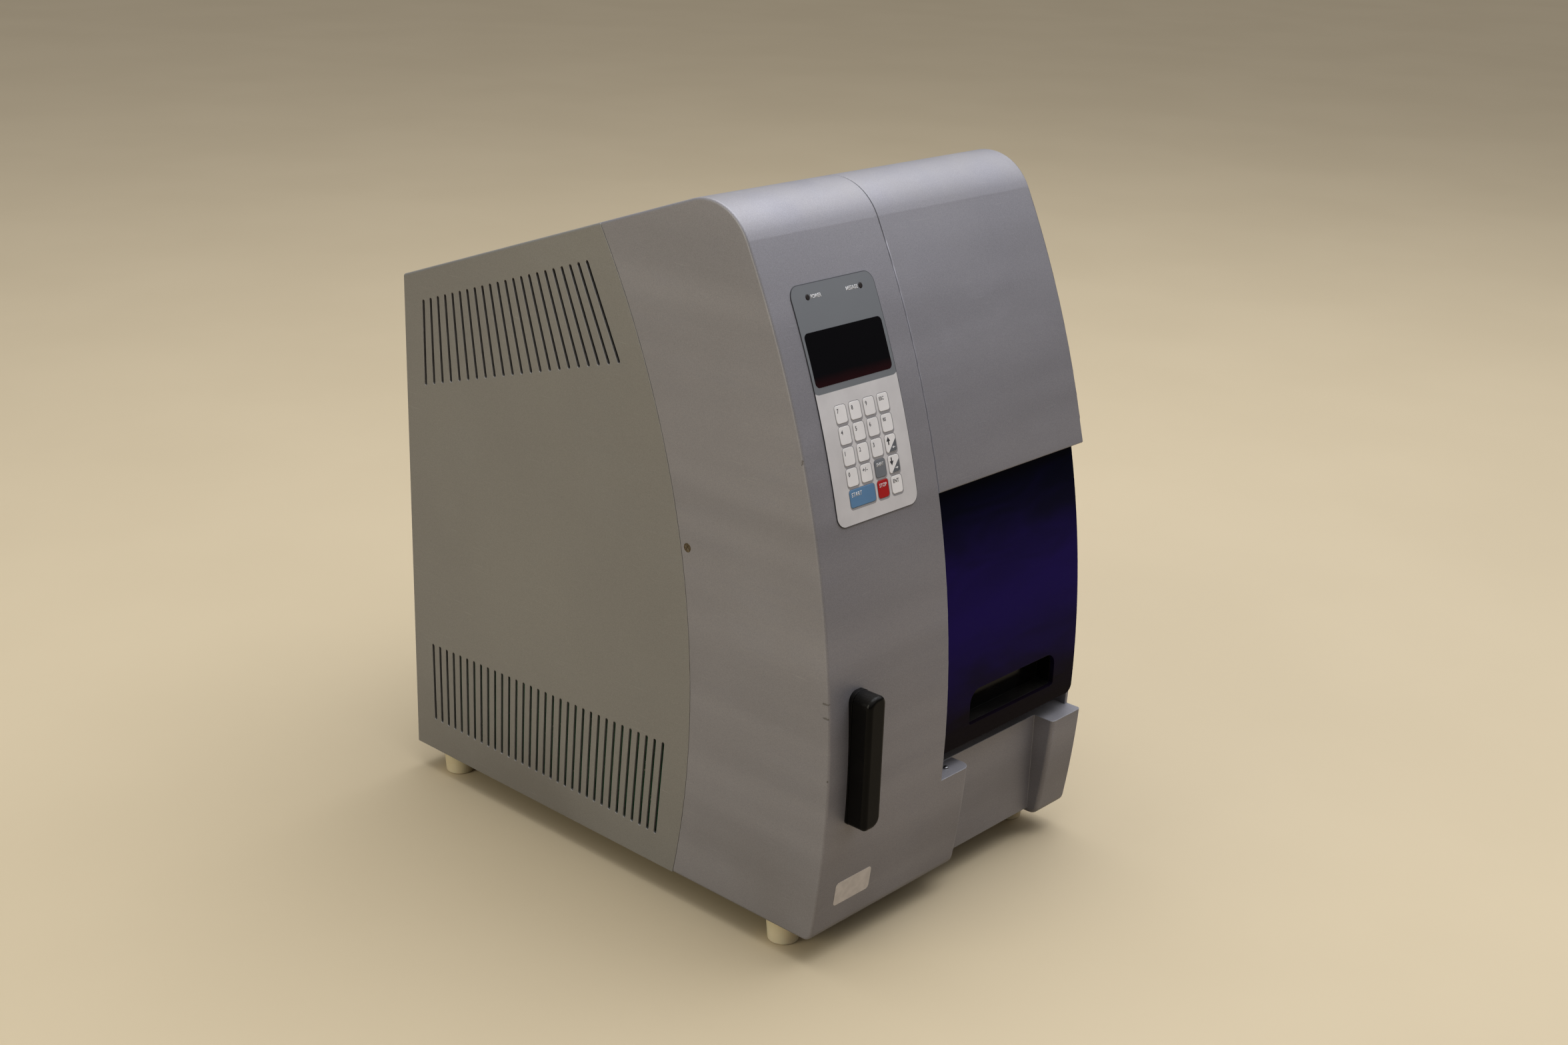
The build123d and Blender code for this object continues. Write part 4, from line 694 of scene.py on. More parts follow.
@dataclass(frozen=True)
class SmokedWindow(Finish):
    """The display's smoked red window, deepest at its top."""

    def dress(self, graph: Graph, place: Socket) -> dict[str, Feed]:
        """Returns the window's tint, from near black down to a dull red along its lower edge."""
        low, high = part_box("display_window")
        height = graph.axis(place, "Z")
        rise = graph.step(height, low.z, low.z + 0.3 * (high.z - low.z))
        cloud = graph.math("MULTIPLY_ADD", graph.noise(place, 60.0, 2.0), 0.3, rise)
        colour = graph.blend(cloud, tone(self.second), tone(self.main))
        smudges = graph.effect(Effect.SMUDGES, vector=place, scale=40.0).outputs[0]
        return {
            "Base Color": colour,
            "Roughness": graph.math("MULTIPLY_ADD", smudges, 0.10, 0.07),
            "Specular IOR Level": 0.2,
            "Normal": graph.bump(graph.noise(place, 70.0, 1.0), 0.00005, 0.4),
        }


@dataclass(frozen=True)
class CircuitBoard(Finish):
    """Solder mask over copper tracks, with tinned pads."""

    def dress(self, graph: Graph, place: Socket) -> dict[str, Feed]:
        """Returns the mask's green, lighter over the tracks, and the bright pads."""
        tracks = []
        for turn in (0, 90, 45):
            turned = graph.turned(place, (turn, 0, 0), (1, 1, 1))
            feeds = {"Vector": turned, "Scale": 130.0, "Distortion": 0.0}
            stripes = graph.add("TexWave", feeds, bands_direction="Z").outputs[0]
            area = graph.step(graph.noise(turned, 42.0, 0.0), 0.5, 0.53)
            tracks.append(graph.math("MULTIPLY", graph.step(stripes, 0.55, 0.7), area))
        copper = graph.math("MAXIMUM", graph.math("MAXIMUM", tracks[0], tracks[1]), tracks[2])
        pads = graph.step(graph.cells(place, 210.0).outputs["Distance"], 0.16, 0.2, 1.0, 0.0)
        pads = graph.math("MULTIPLY", pads, graph.step(graph.noise(place, 55.0), 0.5, 0.56))
        colour = graph.blend(copper, tone(self.main), tone(self.second))
        colour = graph.blend(pads, colour, tone("c9c3b4"))
        height = graph.math("MAXIMUM", graph.math("MULTIPLY", copper, 0.6), pads)
        return {
            "Base Color": colour,
            "Metallic": graph.math("MULTIPLY", pads, 0.9),
            "Roughness": graph.math("MULTIPLY_ADD", pads, -0.1, 0.38),
            "Coat Weight": 0.3,
            "Normal": graph.bump(height, 0.00004),
        }


@dataclass(frozen=True)
class ClearPlastic(Finish):
    """Natural polypropylene: milky, half clear, with soft flow marks."""

    clear: float = 0.45

    def dress(self, graph: Graph, place: Socket) -> dict[str, Feed]:
        """Returns the milky tone, the flow marks and the moulded sheen."""
        flow = graph.noise(graph.turned(place, (0, 0, 0), (1, 1, 4)), 60.0, 3.0, 0.8)
        colour = graph.blend(graph.step(flow, 0.3, 0.7), tone(self.main), tone(self.second))
        return {
            "Base Color": colour,
            "Roughness": graph.math("MULTIPLY_ADD", flow, 0.15, 0.22),
            "Transmission Weight": self.clear,
            "IOR": 1.49,
            "Normal": graph.bump(flow, 0.00003),
        }


@dataclass(frozen=True)
class Foil(Finish):
    """Crinkled sealing foil or a metallised label."""

    metallic: float = 0.9
    crinkle: float = 0.00012
    folds: float = 160.0

    def dress(self, graph: Graph, place: Socket) -> dict[str, Feed]:
        """Returns the foil's tone, its sheen and its crinkles."""
        facets = graph.cells(place, self.folds, "SMOOTH_F1").outputs["Distance"]
        fine = graph.noise(place, self.folds * 3, 3.0)
        colour = graph.blend(graph.step(fine, 0.3, 0.7), tone(self.main), tone(self.second))
        return {
            "Base Color": colour,
            "Metallic": self.metallic,
            "Roughness": graph.math("MULTIPLY_ADD", fine, 0.2, 0.24),
            "Normal": graph.bump(graph.math("MULTIPLY_ADD", fine, 0.3, facets), self.crinkle),
        }


@dataclass(frozen=True)
class StageCloth(Finish):
    """The floor and backdrop: one plain pale tone with a faint mottle, which throws little light back."""

    thrown: str = "a3947a"

    def dress(self, graph: Graph, place: Socket) -> dict[str, Feed]:
        """Returns the mottled tone that is seen, the duller one that lights the object, and a matt sheen."""
        mottle = graph.step(graph.noise(place, 2.5, 6.0), 0.3, 0.7)
        seen = graph.add("LightPath").outputs["Is Camera Ray"]
        colour = graph.blend(seen, tone(self.thrown), graph.blend(mottle, tone(self.main), tone(self.second)))
        return {"Base Color": colour, "Roughness": 0.75}


TOWER_NICKS = (
    Nick(1.0, 5.5, 195.6, (1.8, 2.8, 0.7)),
    Nick(1.0, 4.8, 184.6, (1.8, 2.6, 0.6)),
    Nick(0.4, 36.0, 366.5, (0.7, 0.6, 1.9)),
    Nick(0.4, 1.0, 136.4, (0.6, 0.5, 0.9)),
)


def key_plastic(name: str, main: str, second: str, **changes: float | str) -> Plastic:
    """Returns the finish of a key, smooth and kept clean by use, with what this one changes."""
    values = {"roughness": 0.4, "relief": 0.000012, "dust": 0.04, "wear": 0.15} | changes
    return Plastic(name, main, second, **values)


def ink(name: str, main: str, second: str, roughness: float = 0.5) -> Plastic:
    """Returns the finish of a printed legend, with no wear, no dust and crisp edges."""
    return Plastic(name, main, second, roughness=roughness, wear=0.0, dust=0.0, edge_radius=0.01)


FINISHES: dict[str, Finish] = {
    finish.name: finish
    for finish in (
        MetallicPaint("silver_paint", "99979c", "949297", roughness=0.52, shadow_streaks=0.06, nicks=TOWER_NICKS),
        MetallicPaint("cover_paint", "918f8b", "8c8a87", metallic=0.45, roughness=0.48),
        MetallicPaint(
            "grey_sheet", "8a8b8c", "7f8081", metallic=0.2, roughness=0.55, coat=0.0, flake=0.05, peel=0.0001
        ),
        Plastic("cream_plastic", "e0d4b4", "d2c39c", roughness=0.5, subsurface=0.1, grain=500.0),
        Metal("brass", "8f8370", "544b3f", roughness=0.38, stretch=(1, 1, 1), lines=500.0, dust=0.3),
        TintedAcrylic("tinted_acrylic", "05071a", "120c12"),
        Plastic(
            "gloss_black", "080808", "0d0c0b", roughness=0.14, relief=0.000008, specular=0.12, wear=0.12,
            edge_tone="4a4845", edge_radius=0.7, dust=0.03, haze=0.1,
        ),
        Metal("steel", "b9babc", "8f9093", roughness=0.25, stretch=(1, 1, 0.05)),
        Metal("aluminium", "c5c7ca", "a3a5a8", roughness=0.36, stretch=(0.05, 1, 1)),
        Plastic("black_plastic", "1c1c1e", "262627", roughness=0.48, edge_tone="5c5a57"),
        Plastic("card_plastic", "e3e6ea", "d5d9df", roughness=0.28, relief=0.000006, coat=0.3),
        PrintedFilm(
            "overlay_film", "d8d4d2", "737679", roughness=0.42, relief=0.000012, wear=0.25, dust=0.05,
            edge_radius=0.25,
        ),
        SmokedWindow("smoked_window", "07070b", "260c10"),
        Plastic(
            "led_lens", "2e2826", "241f1e", roughness=0.35, specular=0.2, wear=0.0, dust=0.02, relief=0.00001
        ),
        CircuitBoard("circuit_board", "0e4a2b", "1f6b40"),
        key_plastic("key_white", "f2eeea", "e9e5e2", edge_radius=0.3),
        key_plastic("key_blue", "6189ae", "5a80a3"),
        key_plastic("key_red", "b40a10", "a80a0f", wear=0.12, edge_tone="d06a66"),
        key_plastic("key_grey", "787b7f", "707377"),
        Plastic("rack_plastic", "d2d4d6", "c6c8cb", roughness=0.44, edge_tone="ededed"),
        ClearPlastic("clear_plastic", "e6e7e3", "d6d8d3"),
        ink("dark_ink", "2c2c30", "36363a"),
        ink("white_ink", "f0eeec", "e4e2e0"),
        ink("grey_ink", "5f6266", "67696d", roughness=0.45),
        Foil("seal_foil", "c9cbcd", "aeb0b3"),
        Foil("label_film", "e0d9d4", "d3ccc7", metallic=0.25, crinkle=0.00002, folds=60.0),
        Foil("plate_film", "b4b5b6", "a7a8a9", metallic=0.6, crinkle=0.00002, folds=60.0),
    )
}


class Paintshop:
    """Builds each finish once and puts it on nodes and pieces."""

    def __init__(self) -> None:
        """Starts with no material made."""
        self.made: dict[str, bpy.types.Material] = {}

    def material(self, name: str) -> bpy.types.Material:
        """Returns the material of a finish."""
        if name not in self.made:
            self.made[name] = FINISHES[name].build()
        return self.made[name]

    def dress_nodes(self, frame: dict) -> None:
        """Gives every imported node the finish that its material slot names."""
        slots = {part["node"]: part["material_slot"] for part in frame["record"]["subparts"]}
        for name, node in sorted(frame["nodes"].items()):
            node.data.materials.clear()
            node.data.materials.append(self.material(slots[name]))
            LOG.info("node %s: %s", name, slots[name])


PAINT = Paintshop()


def frame_nodes(prefix: str) -> list[str]:
    """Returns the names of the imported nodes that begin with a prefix."""
    return [o.name for o in bpy.data.objects if o.name.startswith(prefix) and "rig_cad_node" in o]


# ---------------------------------------------------------------- making pieces


def new_piece(
    name: str, mesh: bmesh.types.BMesh, place: Matrix, finish: str, body: str
) -> bpy.types.Object:
    """Turns a bmesh in millimetres into a placed, dressed piece that rides on a body.

    Args:
        name: The piece's name.
        mesh: Its shape, which is freed.
        place: Where the shape's own origin goes, in the frame.
        finish: The finish that it wears.
        body: The body that carries it.

    Returns:
        The new object, whose origin is the frame's.
    """
    bmesh.ops.remove_doubles(mesh, verts=mesh.verts, dist=MERGE_GAP)
    bmesh.ops.recalc_face_normals(mesh, faces=mesh.faces)
    bmesh.ops.transform(mesh, matrix=place @ Matrix.Scale(MM, 4), verts=mesh.verts)
    data = bpy.data.meshes.new(name)
    mesh.to_mesh(data)
    mesh.free()
    piece = bpy.data.objects.new(name, data)
    bpy.context.scene.collection.objects.link(piece)
    data.materials.append(PAINT.material(finish))
    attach(piece, body)
    LOG.info("piece %s on %s: %s", name, body, finish)
    return piece


def rounded_sheet(width: float, height: float, radius: float) -> bmesh.types.BMesh:
    """Returns a flat rectangle with rounded corners, centred on the origin and facing +Z."""
    mesh = bmesh.new()
    bmesh.ops.create_grid(mesh, x_segments=1, y_segments=1, size=0.5)
    bmesh.ops.scale(mesh, vec=(width, height, 1), verts=mesh.verts)
    bmesh.ops.bevel(
        mesh, geom=mesh.verts[:], offset=radius, segments=CORNER_SEGMENTS, profile=0.5, affect="VERTICES",
        material=-1,
    )
    return mesh


def thicken(mesh: bmesh.types.BMesh, thickness: float) -> None:
    """Gives a sheet a thickness along +Z, closed all round."""
    grown = bmesh.ops.extrude_face_region(mesh, geom=mesh.faces[:])
    moved = [v for v in grown["geom"] if isinstance(v, bmesh.types.BMVert)]
    bmesh.ops.translate(mesh, vec=(0, 0, thickness), verts=moved)


def join(into: bmesh.types.BMesh, other: bmesh.types.BMesh, place: Matrix | None = None) -> None:
    """Adds another bmesh at a place, and frees it."""
    if place is not None:
        bmesh.ops.transform(other, matrix=place, verts=other.verts)
    data = bpy.data.meshes.new("joined")
    other.to_mesh(data)
    other.free()
    into.from_mesh(data)
    bpy.data.meshes.remove(data)


def lettering(
    text: str, height: float, squeeze: float = 0.8, thickness: float = PRINT_THICKNESS, weight: float = 0.0
) -> bmesh.types.BMesh:
    """Makes capitals or figures as thin solids.

    Args:
        text: What they say.
        height: Their height in millimetres.
        squeeze: How narrow they are, 1 for the plain width.
        thickness: How thick the print stands.
        weight: How far the strokes are swollen, as a share of the letters' size.

    Returns:
        The letters, with the lower left corner of the first at the origin.
    """
    curve = bpy.data.curves.new("lettering", "FONT")
    curve.body = text
    curve.resolution_u = 3
    curve.offset = weight
    holder = bpy.data.objects.new("lettering", curve)
    data = bpy.data.meshes.new_from_object(holder)
    bpy.data.objects.remove(holder)
    bpy.data.curves.remove(curve)
    mesh = bmesh.new()
    mesh.from_mesh(data)
    bpy.data.meshes.remove(data)
    low = Vector(min(v.co[i] for v in mesh.verts) for i in range(3))
    high = Vector(max(v.co[i] for v in mesh.verts) for i in range(3))
    size = height / (high.y - low.y)
    bmesh.ops.translate(mesh, vec=-low, verts=mesh.verts)
    bmesh.ops.scale(mesh, vec=(size * squeeze, size, 1), verts=mesh.verts)
    bmesh.ops.remove_doubles(mesh, verts=mesh.verts, dist=1e-4)
    thicken(mesh, thickness)
    return mesh


def width_of(mesh: bmesh.types.BMesh) -> float:
    """Returns how far a bmesh reaches along X."""
    return max(v.co.x for v in mesh.verts) - min(v.co.x for v in mesh.verts)


def screw_head(radius: float, height: float, socket: float) -> bmesh.types.BMesh:
    """Returns a button-headed screw with a recess in its top, standing on the origin and facing +Z."""
    mesh = bmesh.new()
    sides = 24
    bmesh.ops.create_cone(
        mesh, cap_ends=True, segments=sides, radius1=radius, radius2=radius * 0.78, depth=height,
        matrix=Matrix.Translation((0, 0, height / 2)),
    )
    top = max(mesh.faces, key=lambda face: face.calc_center_median().z)
    bmesh.ops.bevel(
        mesh, geom=top.edges[:], offset=height * 0.4, segments=3, profile=0.5, affect="EDGES", material=-1
    )
    top = max(mesh.faces, key=lambda face: face.calc_center_median().z)
    bmesh.ops.inset_region(mesh, faces=[top], thickness=radius * 0.2)
    top = max(mesh.faces, key=lambda face: (round(face.calc_center_median().z, 4), -face.calc_area()))
    for vert in top.verts:
        angle = math.atan2(vert.co.y, vert.co.x) % math.radians(60) - math.radians(30)
        reach = socket / math.cos(angle) / vert.co.xy.length
        vert.co.xy = vert.co.xy * reach
    deeper = bmesh.ops.extrude_discrete_faces(mesh, faces=[top])["faces"]
    bmesh.ops.translate(mesh, vec=(0, 0, -height * 0.6), verts=deeper[0].verts)
    return mesh


# ---------------------------------------------------------------- sub-assemblies


class Ink(Enum):
    """The finishes that legends are printed in."""

    DARK = "dark_ink"
    WHITE = "white_ink"
    GREY = "grey_ink"


@dataclass(frozen=True)
class Legend:
    """What is printed on one key, how high, how narrow and in which ink."""

    text: str
    height: float
    squeeze: float = 0.85
    ink: Ink = Ink.DARK


@dataclass(frozen=True)
class Keypad:
    """The legends of the keys, and the split fields of the two arrow keys."""

    proud: float = 0.8
    deep: float = 4.0
    margin: float = 2.0
    drop: float = 2.2
    print_gap: float = 0.02
    words: tuple[tuple[str, Legend], ...] = (
        ("escape", Legend("ESC", 2.6, 0.9)),
        ("back", Legend("BS", 2.6, 0.9)),
        ("sign", Legend("+/-", 3.0, 1.15)),
        ("shift", Legend("SHIFT", 2.6, 0.85, Ink.WHITE)),
        ("start", Legend("START", 3.1, 0.88, Ink.WHITE)),
        ("stop", Legend("STOP", 2.8, 0.86, Ink.WHITE)),
        ("enter", Legend("ENT", 2.7, 0.9)),
    )
    arrow: tuple[float, float, float] = (4.0, 3.2, 2.6)
    split: tuple[float, float] = (0.25, 0.18)
    small_arrow: tuple[float, float, float] = (1.9, 1.6, 1.5)
    corner_inset: float = 0.6
    corner_radius: float = 1.9
    corner_print: float = 0.04
    # each arrow's middle: shares of the face's width and height, then millimetres above it
    big_spot: tuple[float, float, float] = (-0.2, 0.17, 0.0)
    small_spot: tuple[float, float, float] = (0.2, -0.24, 0.06)
    stem_share: float = 0.28
    weight: float = 0.012

    def top_of(self, node: str) -> tuple[Matrix, float, float]:
        """Returns a key's place, on its printed face, and the face's width and height."""
        low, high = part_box(node)
        middle = (low + high) / 2
        x, z = CASE.across(middle), CASE.height_of(middle)
        lean = math.asin((z - CASE.arc_height) / CASE.front_radius)
        width = (high.x - low.x) / MM
        depth, rise = (high.y - low.y) / MM, (high.z - low.z) / MM
        # the box of a leaning block: its own height and depth come back from its reach in z and y
        height = (rise * math.cos(lean) - depth * math.sin(lean)) / math.cos(2 * lean)
        face = CASE.front(x, self.key_height(z), self.proud + self.print_gap)
        return face, width, height

    def key_height(self, z: float) -> float:
        """Returns the height on the arc of a key whose box has its middle at z."""
        lean = math.asin((z - CASE.arc_height) / CASE.front_radius)
        return z + (self.deep - self.proud) / 2 * math.sin(lean)

    def build(self) -> None:
        """Prints every key."""
        words = dict(self.words)
        for node in sorted(frame_nodes("key_")):
            name = node.removeprefix("key_")
            if name in ("up", "down"):
                self.arrows(node, up=name == "up")
            else:
                self.word(node, words.get(name, Legend(name, 3.2)))

    def word(self, node: str, legend: Legend) -> None:
        """Prints a legend at a key's upper left, or across its middle where it is wide."""
        face, width, height = self.top_of(node)
        mesh = lettering(legend.text, legend.height, legend.squeeze, weight=self.weight)
        room = width - width_of(mesh)
        left = -width / 2 + min(self.margin, room / 2)
        low = height / 2 - self.drop - legend.height
        place = face @ Matrix.Translation((left * MM, low * MM, 0))
        new_piece(f"legend_{node}", mesh, place, legend.ink.value, node)

    def arrows(self, node: str, up: bool) -> None:
        """Prints an arrow key: a dark arrow, and a small white one on a grey corner."""
        face, width, height = self.top_of(node)
        corner = rounded_sheet(width - self.corner_inset, height - self.corner_inset, self.corner_radius)
        start = Vector((width / 2, height * (0.5 - self.split[0]), 0))
        end = Vector((-width * (0.5 - self.split[1]), -height / 2, 0))
        along = end - start
        side = Vector((along.y, -along.x, 0))
        bmesh.ops.bisect_plane(
            corner, geom=corner.verts[:] + corner.edges[:] + corner.faces[:],
            plane_co=start, plane_no=side, clear_outer=True,
        )
        thicken(corner, self.corner_print)
        new_piece(f"corner_{node}", corner, face, Ink.GREY.value, node)
        for name, sizes, spot, turn, ink_kind in (
            ("arrow", self.arrow, self.big_spot, 0 if up else 180, Ink.DARK),
            ("small_arrow", self.small_arrow, self.small_spot, 90 if up else -90, Ink.WHITE),
        ):
            middle = Vector((width * spot[0], height * spot[1], spot[2])) * MM
            place = face @ Matrix.Translation(middle) @ Matrix.Rotation(math.radians(turn), 4, "Z")
            new_piece(f"{name}_{node}", self.arrow_shape(*sizes), place, ink_kind.value, node)

    def arrow_shape(self, width: float, head: float, stem: float) -> bmesh.types.BMesh:
        """Returns an arrow that points along +Y, with its middle at the origin."""
        mesh = bmesh.new()
        bmesh.ops.create_circle(mesh, cap_ends=True, segments=3, radius=1.0)
        bmesh.ops.scale(mesh, vec=(width / math.sqrt(3), head / 1.5, 1), verts=mesh.verts)
        tip = max(v.co.y for v in mesh.verts)
        bmesh.ops.translate(mesh, vec=(0, (head + stem) / 2 - tip, 0), verts=mesh.verts)
        base = min(v.co.y for v in mesh.verts)
        bar = bmesh.new()
        bmesh.ops.create_grid(bar, x_segments=1, y_segments=1, size=0.5)
        bmesh.ops.scale(bar, vec=(width * self.stem_share, stem, 1), verts=bar.verts)
        bmesh.ops.translate(bar, vec=(0, base - stem / 2, 0), verts=bar.verts)
        thicken(bar, PRINT_THICKNESS)
        thicken(mesh, PRINT_THICKNESS)
        join(mesh, bar)
        return mesh


@dataclass(frozen=True)
class LampLabels:
    """The words beside the two status lamps on the film."""

    words: tuple[tuple[str, float, bool], ...] = (("POWER", 42.7, False), ("MESSAGE", 92.1, True))
    height: float = 2.9
    squeeze: float = 0.78
    weight: float = 0.015
    z: float = 469.0
    proud: float = 0.62

    def build(self) -> None:
        """Prints each word, running right from its place or ending there."""
        for text, x, ends_here in self.words:
            mesh = lettering(text, self.height, self.squeeze, 0.04, self.weight)
            left = x - width_of(mesh) if ends_here else x
            place = CASE.front(left, self.z, self.proud) @ Matrix.Translation((0, -self.height / 2 * MM, 0))
            new_piece(f"label_{text.lower()}", mesh, place, Ink.WHITE.value, CABINET)


@dataclass(frozen=True)
class AssetLabel:
    """The blank metallised label low on the tower, which follows the front arc."""

    x: tuple[float, float] = (20.0, 60.0)
    z: tuple[float, float] = (24.0, 44.0)
    corner: float = 3.2
    thickness: float = 0.12
    strips: int = 6

    def build(self) -> None:
        """Makes the label flat, bends it onto the arc and lifts it by its own thickness."""
        width, height = self.x[1] - self.x[0], self.z[1] - self.z[0]
        mesh = rounded_sheet(width, height, self.corner)
        for strip in range(1, self.strips):
            level = -height / 2 + height * strip / self.strips
            whole = mesh.verts[:] + mesh.edges[:] + mesh.faces[:]
            bmesh.ops.bisect_plane(mesh, geom=whole, plane_co=(0, level, 0), plane_no=(0, 1, 0))
        thicken(mesh, self.thickness)
        middle = CASE.front(sum(self.x) / 2, sum(self.z) / 2, 0.02)
        for vert in mesh.verts:
            vert.co.z -= vert.co.y**2 / (2 * CASE.front_radius)
        new_piece("asset_label", mesh, middle, "label_film", CABINET)


@dataclass(frozen=True)
class SmallScrews:
    """The door's stop screw on the ledge, and the screws round the back panel."""

    stop: tuple[float, float, float] = (154.0, 12.0, 89.2)
    stop_size: tuple[float, float, float] = (2.4, 1.6, 0.9)  # radius, height, socket
    back_size: tuple[float, float, float] = (3.0, 1.8, 1.3)
    back_inset: float = 9.0
    back_rows: tuple[float, ...] = (14.0, 140.0, 268.0, 398.0)

    def build(self) -> None:
        """Fits each screw on what it holds."""
        stop = screw_head(*self.stop_size)
        spot = Matrix.Translation(CASE.point(*self.stop))
        new_piece("door_stop_screw", stop, spot, "steel", CABINET)
        low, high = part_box("back_panel")
        screws = bmesh.new()
        for x in (low.x + self.back_inset * MM, high.x - self.back_inset * MM):
            for z in self.back_rows:
                spot = Vector((x, high.y, CASE.point(0, 0, z).z))
                place = facing(spot, Vector((-1, 0, 0)), Vector((0, 0, 1)))
                local = Matrix.Scale(1 / MM, 4) @ place @ Matrix.Scale(MM, 4)
                join(screws, screw_head(*self.back_size), local)
        new_piece("back_panel_screws", screws, Matrix.Identity(4), "steel", CABINET)


@dataclass(frozen=True)
class DeckKit:
    """The foil seals of the reagent cartridges, and the channel numbers on their rack."""

    channels: int = 6
    pitch: float = 22.0
    edge: float = 0.6
    foil_corner: float = 1.2
    foil: float = 0.12
    disc: tuple[float, float] = (0.1, 0.14)  # height that it starts at, thickness
    gap: float = 0.02
    wells: int = 11
    well_radius: float = 3.6
    figure: float = 6.0
    figure_drop: float = 9.0

    def build(self) -> None:
        """Seals each cartridge and numbers its channel."""
        low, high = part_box("reagent_cartridges")
        rack_low, rack_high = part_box(RACK)
        span = (self.channels - 1) * self.pitch
        width = (high.x - low.x) / MM - span
        length = (high.y - low.y) / MM
        for channel in range(self.channels):
            x = (low.x + high.x) / 2 + (channel * self.pitch - span / 2) * MM
            top = Vector((x, (low.y + high.y) / 2, high.z + self.gap * MM))
            seal = self.seal(width, length)
            new_piece(f"seal_{channel + 1}", seal, Matrix.Translation(top), "seal_foil", RACK)
            number = lettering(str(channel + 1), self.figure, 0.9)
            left = x - width_of(number) / 2 * MM
            drop = self.figure_drop + self.figure / 2
            spot = Vector((left, rack_low.y - self.gap * MM, rack_high.z - drop * MM))
            place = facing(spot, Vector((1, 0, 0)), Vector((0, 0, 1)))
            new_piece(f"number_{channel + 1}", number, place, Ink.DARK.value, RACK)

    def seal(self, width: float, length: float) -> bmesh.types.BMesh:
        """Returns one strip of foil, with a raised disc over each well."""
        mesh = rounded_sheet(width - 2 * self.edge, length - 2 * self.edge, self.foil_corner)
        thicken(mesh, self.foil)
        step = (length - 4 * self.edge) / self.wells
        for well in range(self.wells):
            disc = bmesh.new()
            bmesh.ops.create_circle(disc, cap_ends=True, segments=24, radius=self.well_radius)
            along = (well - (self.wells - 1) / 2) * step
            bmesh.ops.translate(disc, vec=(0, along, self.disc[0]), verts=disc.verts)
            thicken(disc, self.disc[1])
            join(mesh, disc)
        return mesh


@dataclass(frozen=True)
class RearMarkings:
    """The blank rating plate on the back panel, and the marks on the mains rocker."""

    plate: tuple[float, float, float, float] = (124.0, 76.0, 62.0, 38.0)  # middle x and z, width, height
    plate_corner: float = 2.5
    plate_thickness: float = 0.3
    rules: tuple[float, ...] = (-12.0, -6.0, 0.0, 6.0, 12.0)
    rule_margin: float = 8.0
    rule_size: tuple[float, float] = (0.35, 0.03)  # width, thickness
    print_gap: float = 0.01
    marks: tuple[tuple[str, float, float, float, float], ...] = (
        ("I", 473.04, 99.65, 0.0503, 0.9987),
        ("O", 474.49, 89.35, -0.3236, 0.9462),
    )
    mark_height: float = 4.0
    rocker_x: float = 55.0

    def build(self) -> None:
        """Fits the plate with its ruled lines, and prints the two marks."""
        x, z, width, height = self.plate
        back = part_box("back_panel")[1].y
        spot = Vector((CASE.point(x, 0, 0).x, back, CASE.point(0, 0, z).z))
        place = facing(spot, Vector((-1, 0, 0)), Vector((0, 0, 1)))
        plate = rounded_sheet(width, height, self.plate_corner)
        thicken(plate, self.plate_thickness)
        new_piece("rating_plate", plate, place, "plate_film", CABINET)
        lines = bmesh.new()
        for rule in self.rules:
            bar = bmesh.new()
            bmesh.ops.create_grid(bar, x_segments=1, y_segments=1, size=0.5)
            bmesh.ops.scale(bar, vec=(width - self.rule_margin, self.rule_size[0], 1), verts=bar.verts)
            bmesh.ops.translate(bar, vec=(0, rule, self.plate_thickness + self.print_gap), verts=bar.verts)
            thicken(bar, self.rule_size[1])
            join(lines, bar)
        new_piece("rating_plate_rules", lines, place, Ink.GREY.value, CABINET)
        for text, y, z, lean, rise in self.marks:
            mesh = lettering(text, self.mark_height, 0.9)
            offset = Vector((-width_of(mesh) / 2, -self.mark_height / 2, 0.03)) * MM
            face = facing(CASE.point(self.rocker_x, y, z), Vector((-1, 0, 0)), Vector((0, lean, rise)))
            name = {"I": "on", "O": "off"}[text]
            place = face @ Matrix.Translation(offset)
            new_piece(f"switch_mark_{name}", mesh, place, Ink.WHITE.value, "power_switch")


@dataclass(frozen=True)
class Lamp:
    """A square soft lamp: its place, the height that it faces and its side in metres, watts and colour."""

    name: str
    place: tuple[float, float, float]
    aim: float
    size: float
    watts: float
    colour: str


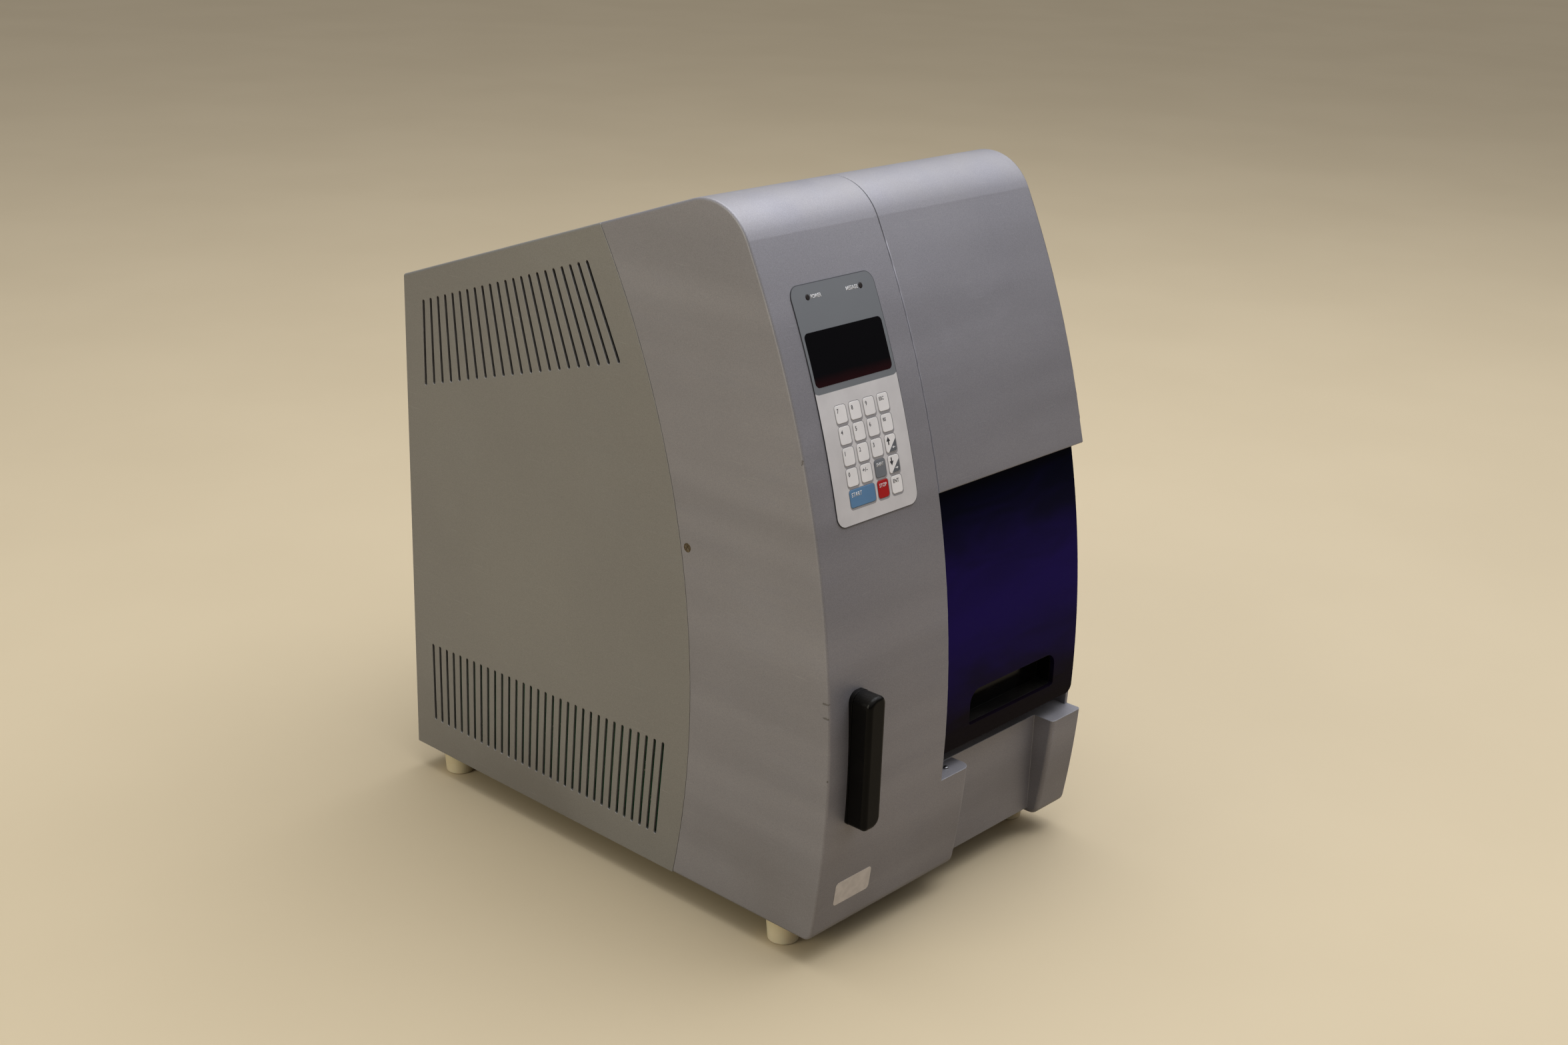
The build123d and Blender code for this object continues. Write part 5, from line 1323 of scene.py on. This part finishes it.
@dataclass(frozen=True)
class Studio:
    """Floor, backdrop, lamps and camera."""

    image_size: tuple[int, int] = (2352, 1568)
    focal_pixels: float = 3039.2
    sensor: float = 36.0
    eye: tuple[float, float, float] = (-981.7, -832.4, 804.2)
    right: tuple[float, float, float] = (0.67738, -0.73490, 0.03287)
    up: tuple[float, float, float] = (0.2326, 0.2564, 0.9382)
    floor_reach: float = 24.0
    world_strength: float = 0.75
    lamps: tuple[Lamp, ...] = (
        Lamp("ceiling_lamp", (0.5, -0.2, 2.8), 0.3, 3.0, 78.0, "f4f7ff"),
        Lamp("right_lamp", (2.2, -1.1, 2.3), 0.3, 1.8, 8.5, "f2f5ff"),
        Lamp("front_lamp", (0.3, -3.2, 2.4), 0.3, 1.4, 2.5, "fffaf2"),
        Lamp("left_lamp", (-3.0, 0.7, 1.1), 0.25, 1.6, 31.0, "f9f4e0"),
    )

    def camera(self) -> None:
        """Puts the camera at its eye point, level with the given axes."""
        data = bpy.data.cameras.new("camera")
        data.sensor_width = self.sensor
        data.lens = self.focal_pixels * self.sensor / self.image_size[0]
        data.clip_start, data.clip_end = 0.05, 50.0
        camera = bpy.data.objects.new("camera", data)
        bpy.context.scene.collection.objects.link(camera)
        right = Vector(self.right).normalized()
        up = Vector(self.up)
        up = (up - right * up.dot(right)).normalized()
        camera.matrix_world = facing(CASE.point(*self.eye), right, up)
        bpy.context.scene.camera = camera

    def hang(self, lamp: Lamp) -> None:
        """Hangs a lamp that faces the middle of the object."""
        data = bpy.data.lights.new(lamp.name, "AREA")
        data.shape = "SQUARE"
        data.size = lamp.size
        data.energy = lamp.watts
        data.color = tone(lamp.colour)[:3]
        holder = bpy.data.objects.new(lamp.name, data)
        bpy.context.scene.collection.objects.link(holder)
        holder.location = lamp.place
        aim = Vector((0.0, 0.0, lamp.aim)) - Vector(lamp.place)
        holder.rotation_euler = aim.to_track_quat("-Z", "Y").to_euler()

    def backdrop(self) -> None:
        """Lays the wide floor, which is the backdrop too."""
        mesh = bmesh.new()
        bmesh.ops.create_grid(mesh, x_segments=1, y_segments=1, size=1.0)
        bmesh.ops.scale(mesh, vec=(self.floor_reach, self.floor_reach, 1), verts=mesh.verts)
        floor = bpy.data.meshes.new("floor")
        mesh.to_mesh(floor)
        mesh.free()
        piece = bpy.data.objects.new("floor", floor)
        bpy.context.scene.collection.objects.link(piece)
        floor.materials.append(StageCloth("stage_floor", "ccbb9a", "c9b897").build())

    def world(self) -> None:
        """Fills in from all round with a soft warm grey, a little brighter above."""
        world = bpy.data.worlds.new("studio")
        bpy.context.scene.world = world
        world.use_nodes = True
        graph = Graph(world.node_tree)
        background = next(n for n in world.node_tree.nodes if n.type == "BACKGROUND")
        height = graph.axis(graph.add("TexCoord").outputs["Generated"], "Z")
        fill = graph.blend(graph.step(height, 0.1, 0.9), tone("5c564e"), tone("e2e3e8"))
        seen = graph.add("LightPath").outputs["Is Camera Ray"]
        graph.feed(background.inputs["Color"], graph.blend(seen, fill, tone("dbd2c1")))
        background.inputs["Strength"].default_value = self.world_strength

    def build(self) -> None:
        """Sets up everything round the object."""
        bpy.context.scene.view_settings.view_transform = "Standard"
        self.camera()
        self.backdrop()
        self.world()
        for lamp in self.lamps:
            self.hang(lamp)


def main() -> None:
    """Builds the studio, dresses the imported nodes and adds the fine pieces."""
    logging.basicConfig(level=logging.INFO, format="%(name)s: %(message)s")
    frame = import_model()
    Studio().build()
    PAINT.dress_nodes(frame)
    builders: Iterable[Keypad | LampLabels | AssetLabel | SmallScrews | DeckKit | RearMarkings] = (
        Keypad(),
        LampLabels(),
        AssetLabel(),
        SmallScrews(),
        DeckKit(),
        RearMarkings(),
    )
    for builder in builders:
        builder.build()
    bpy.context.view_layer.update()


if __name__ == "__main__":
    main()
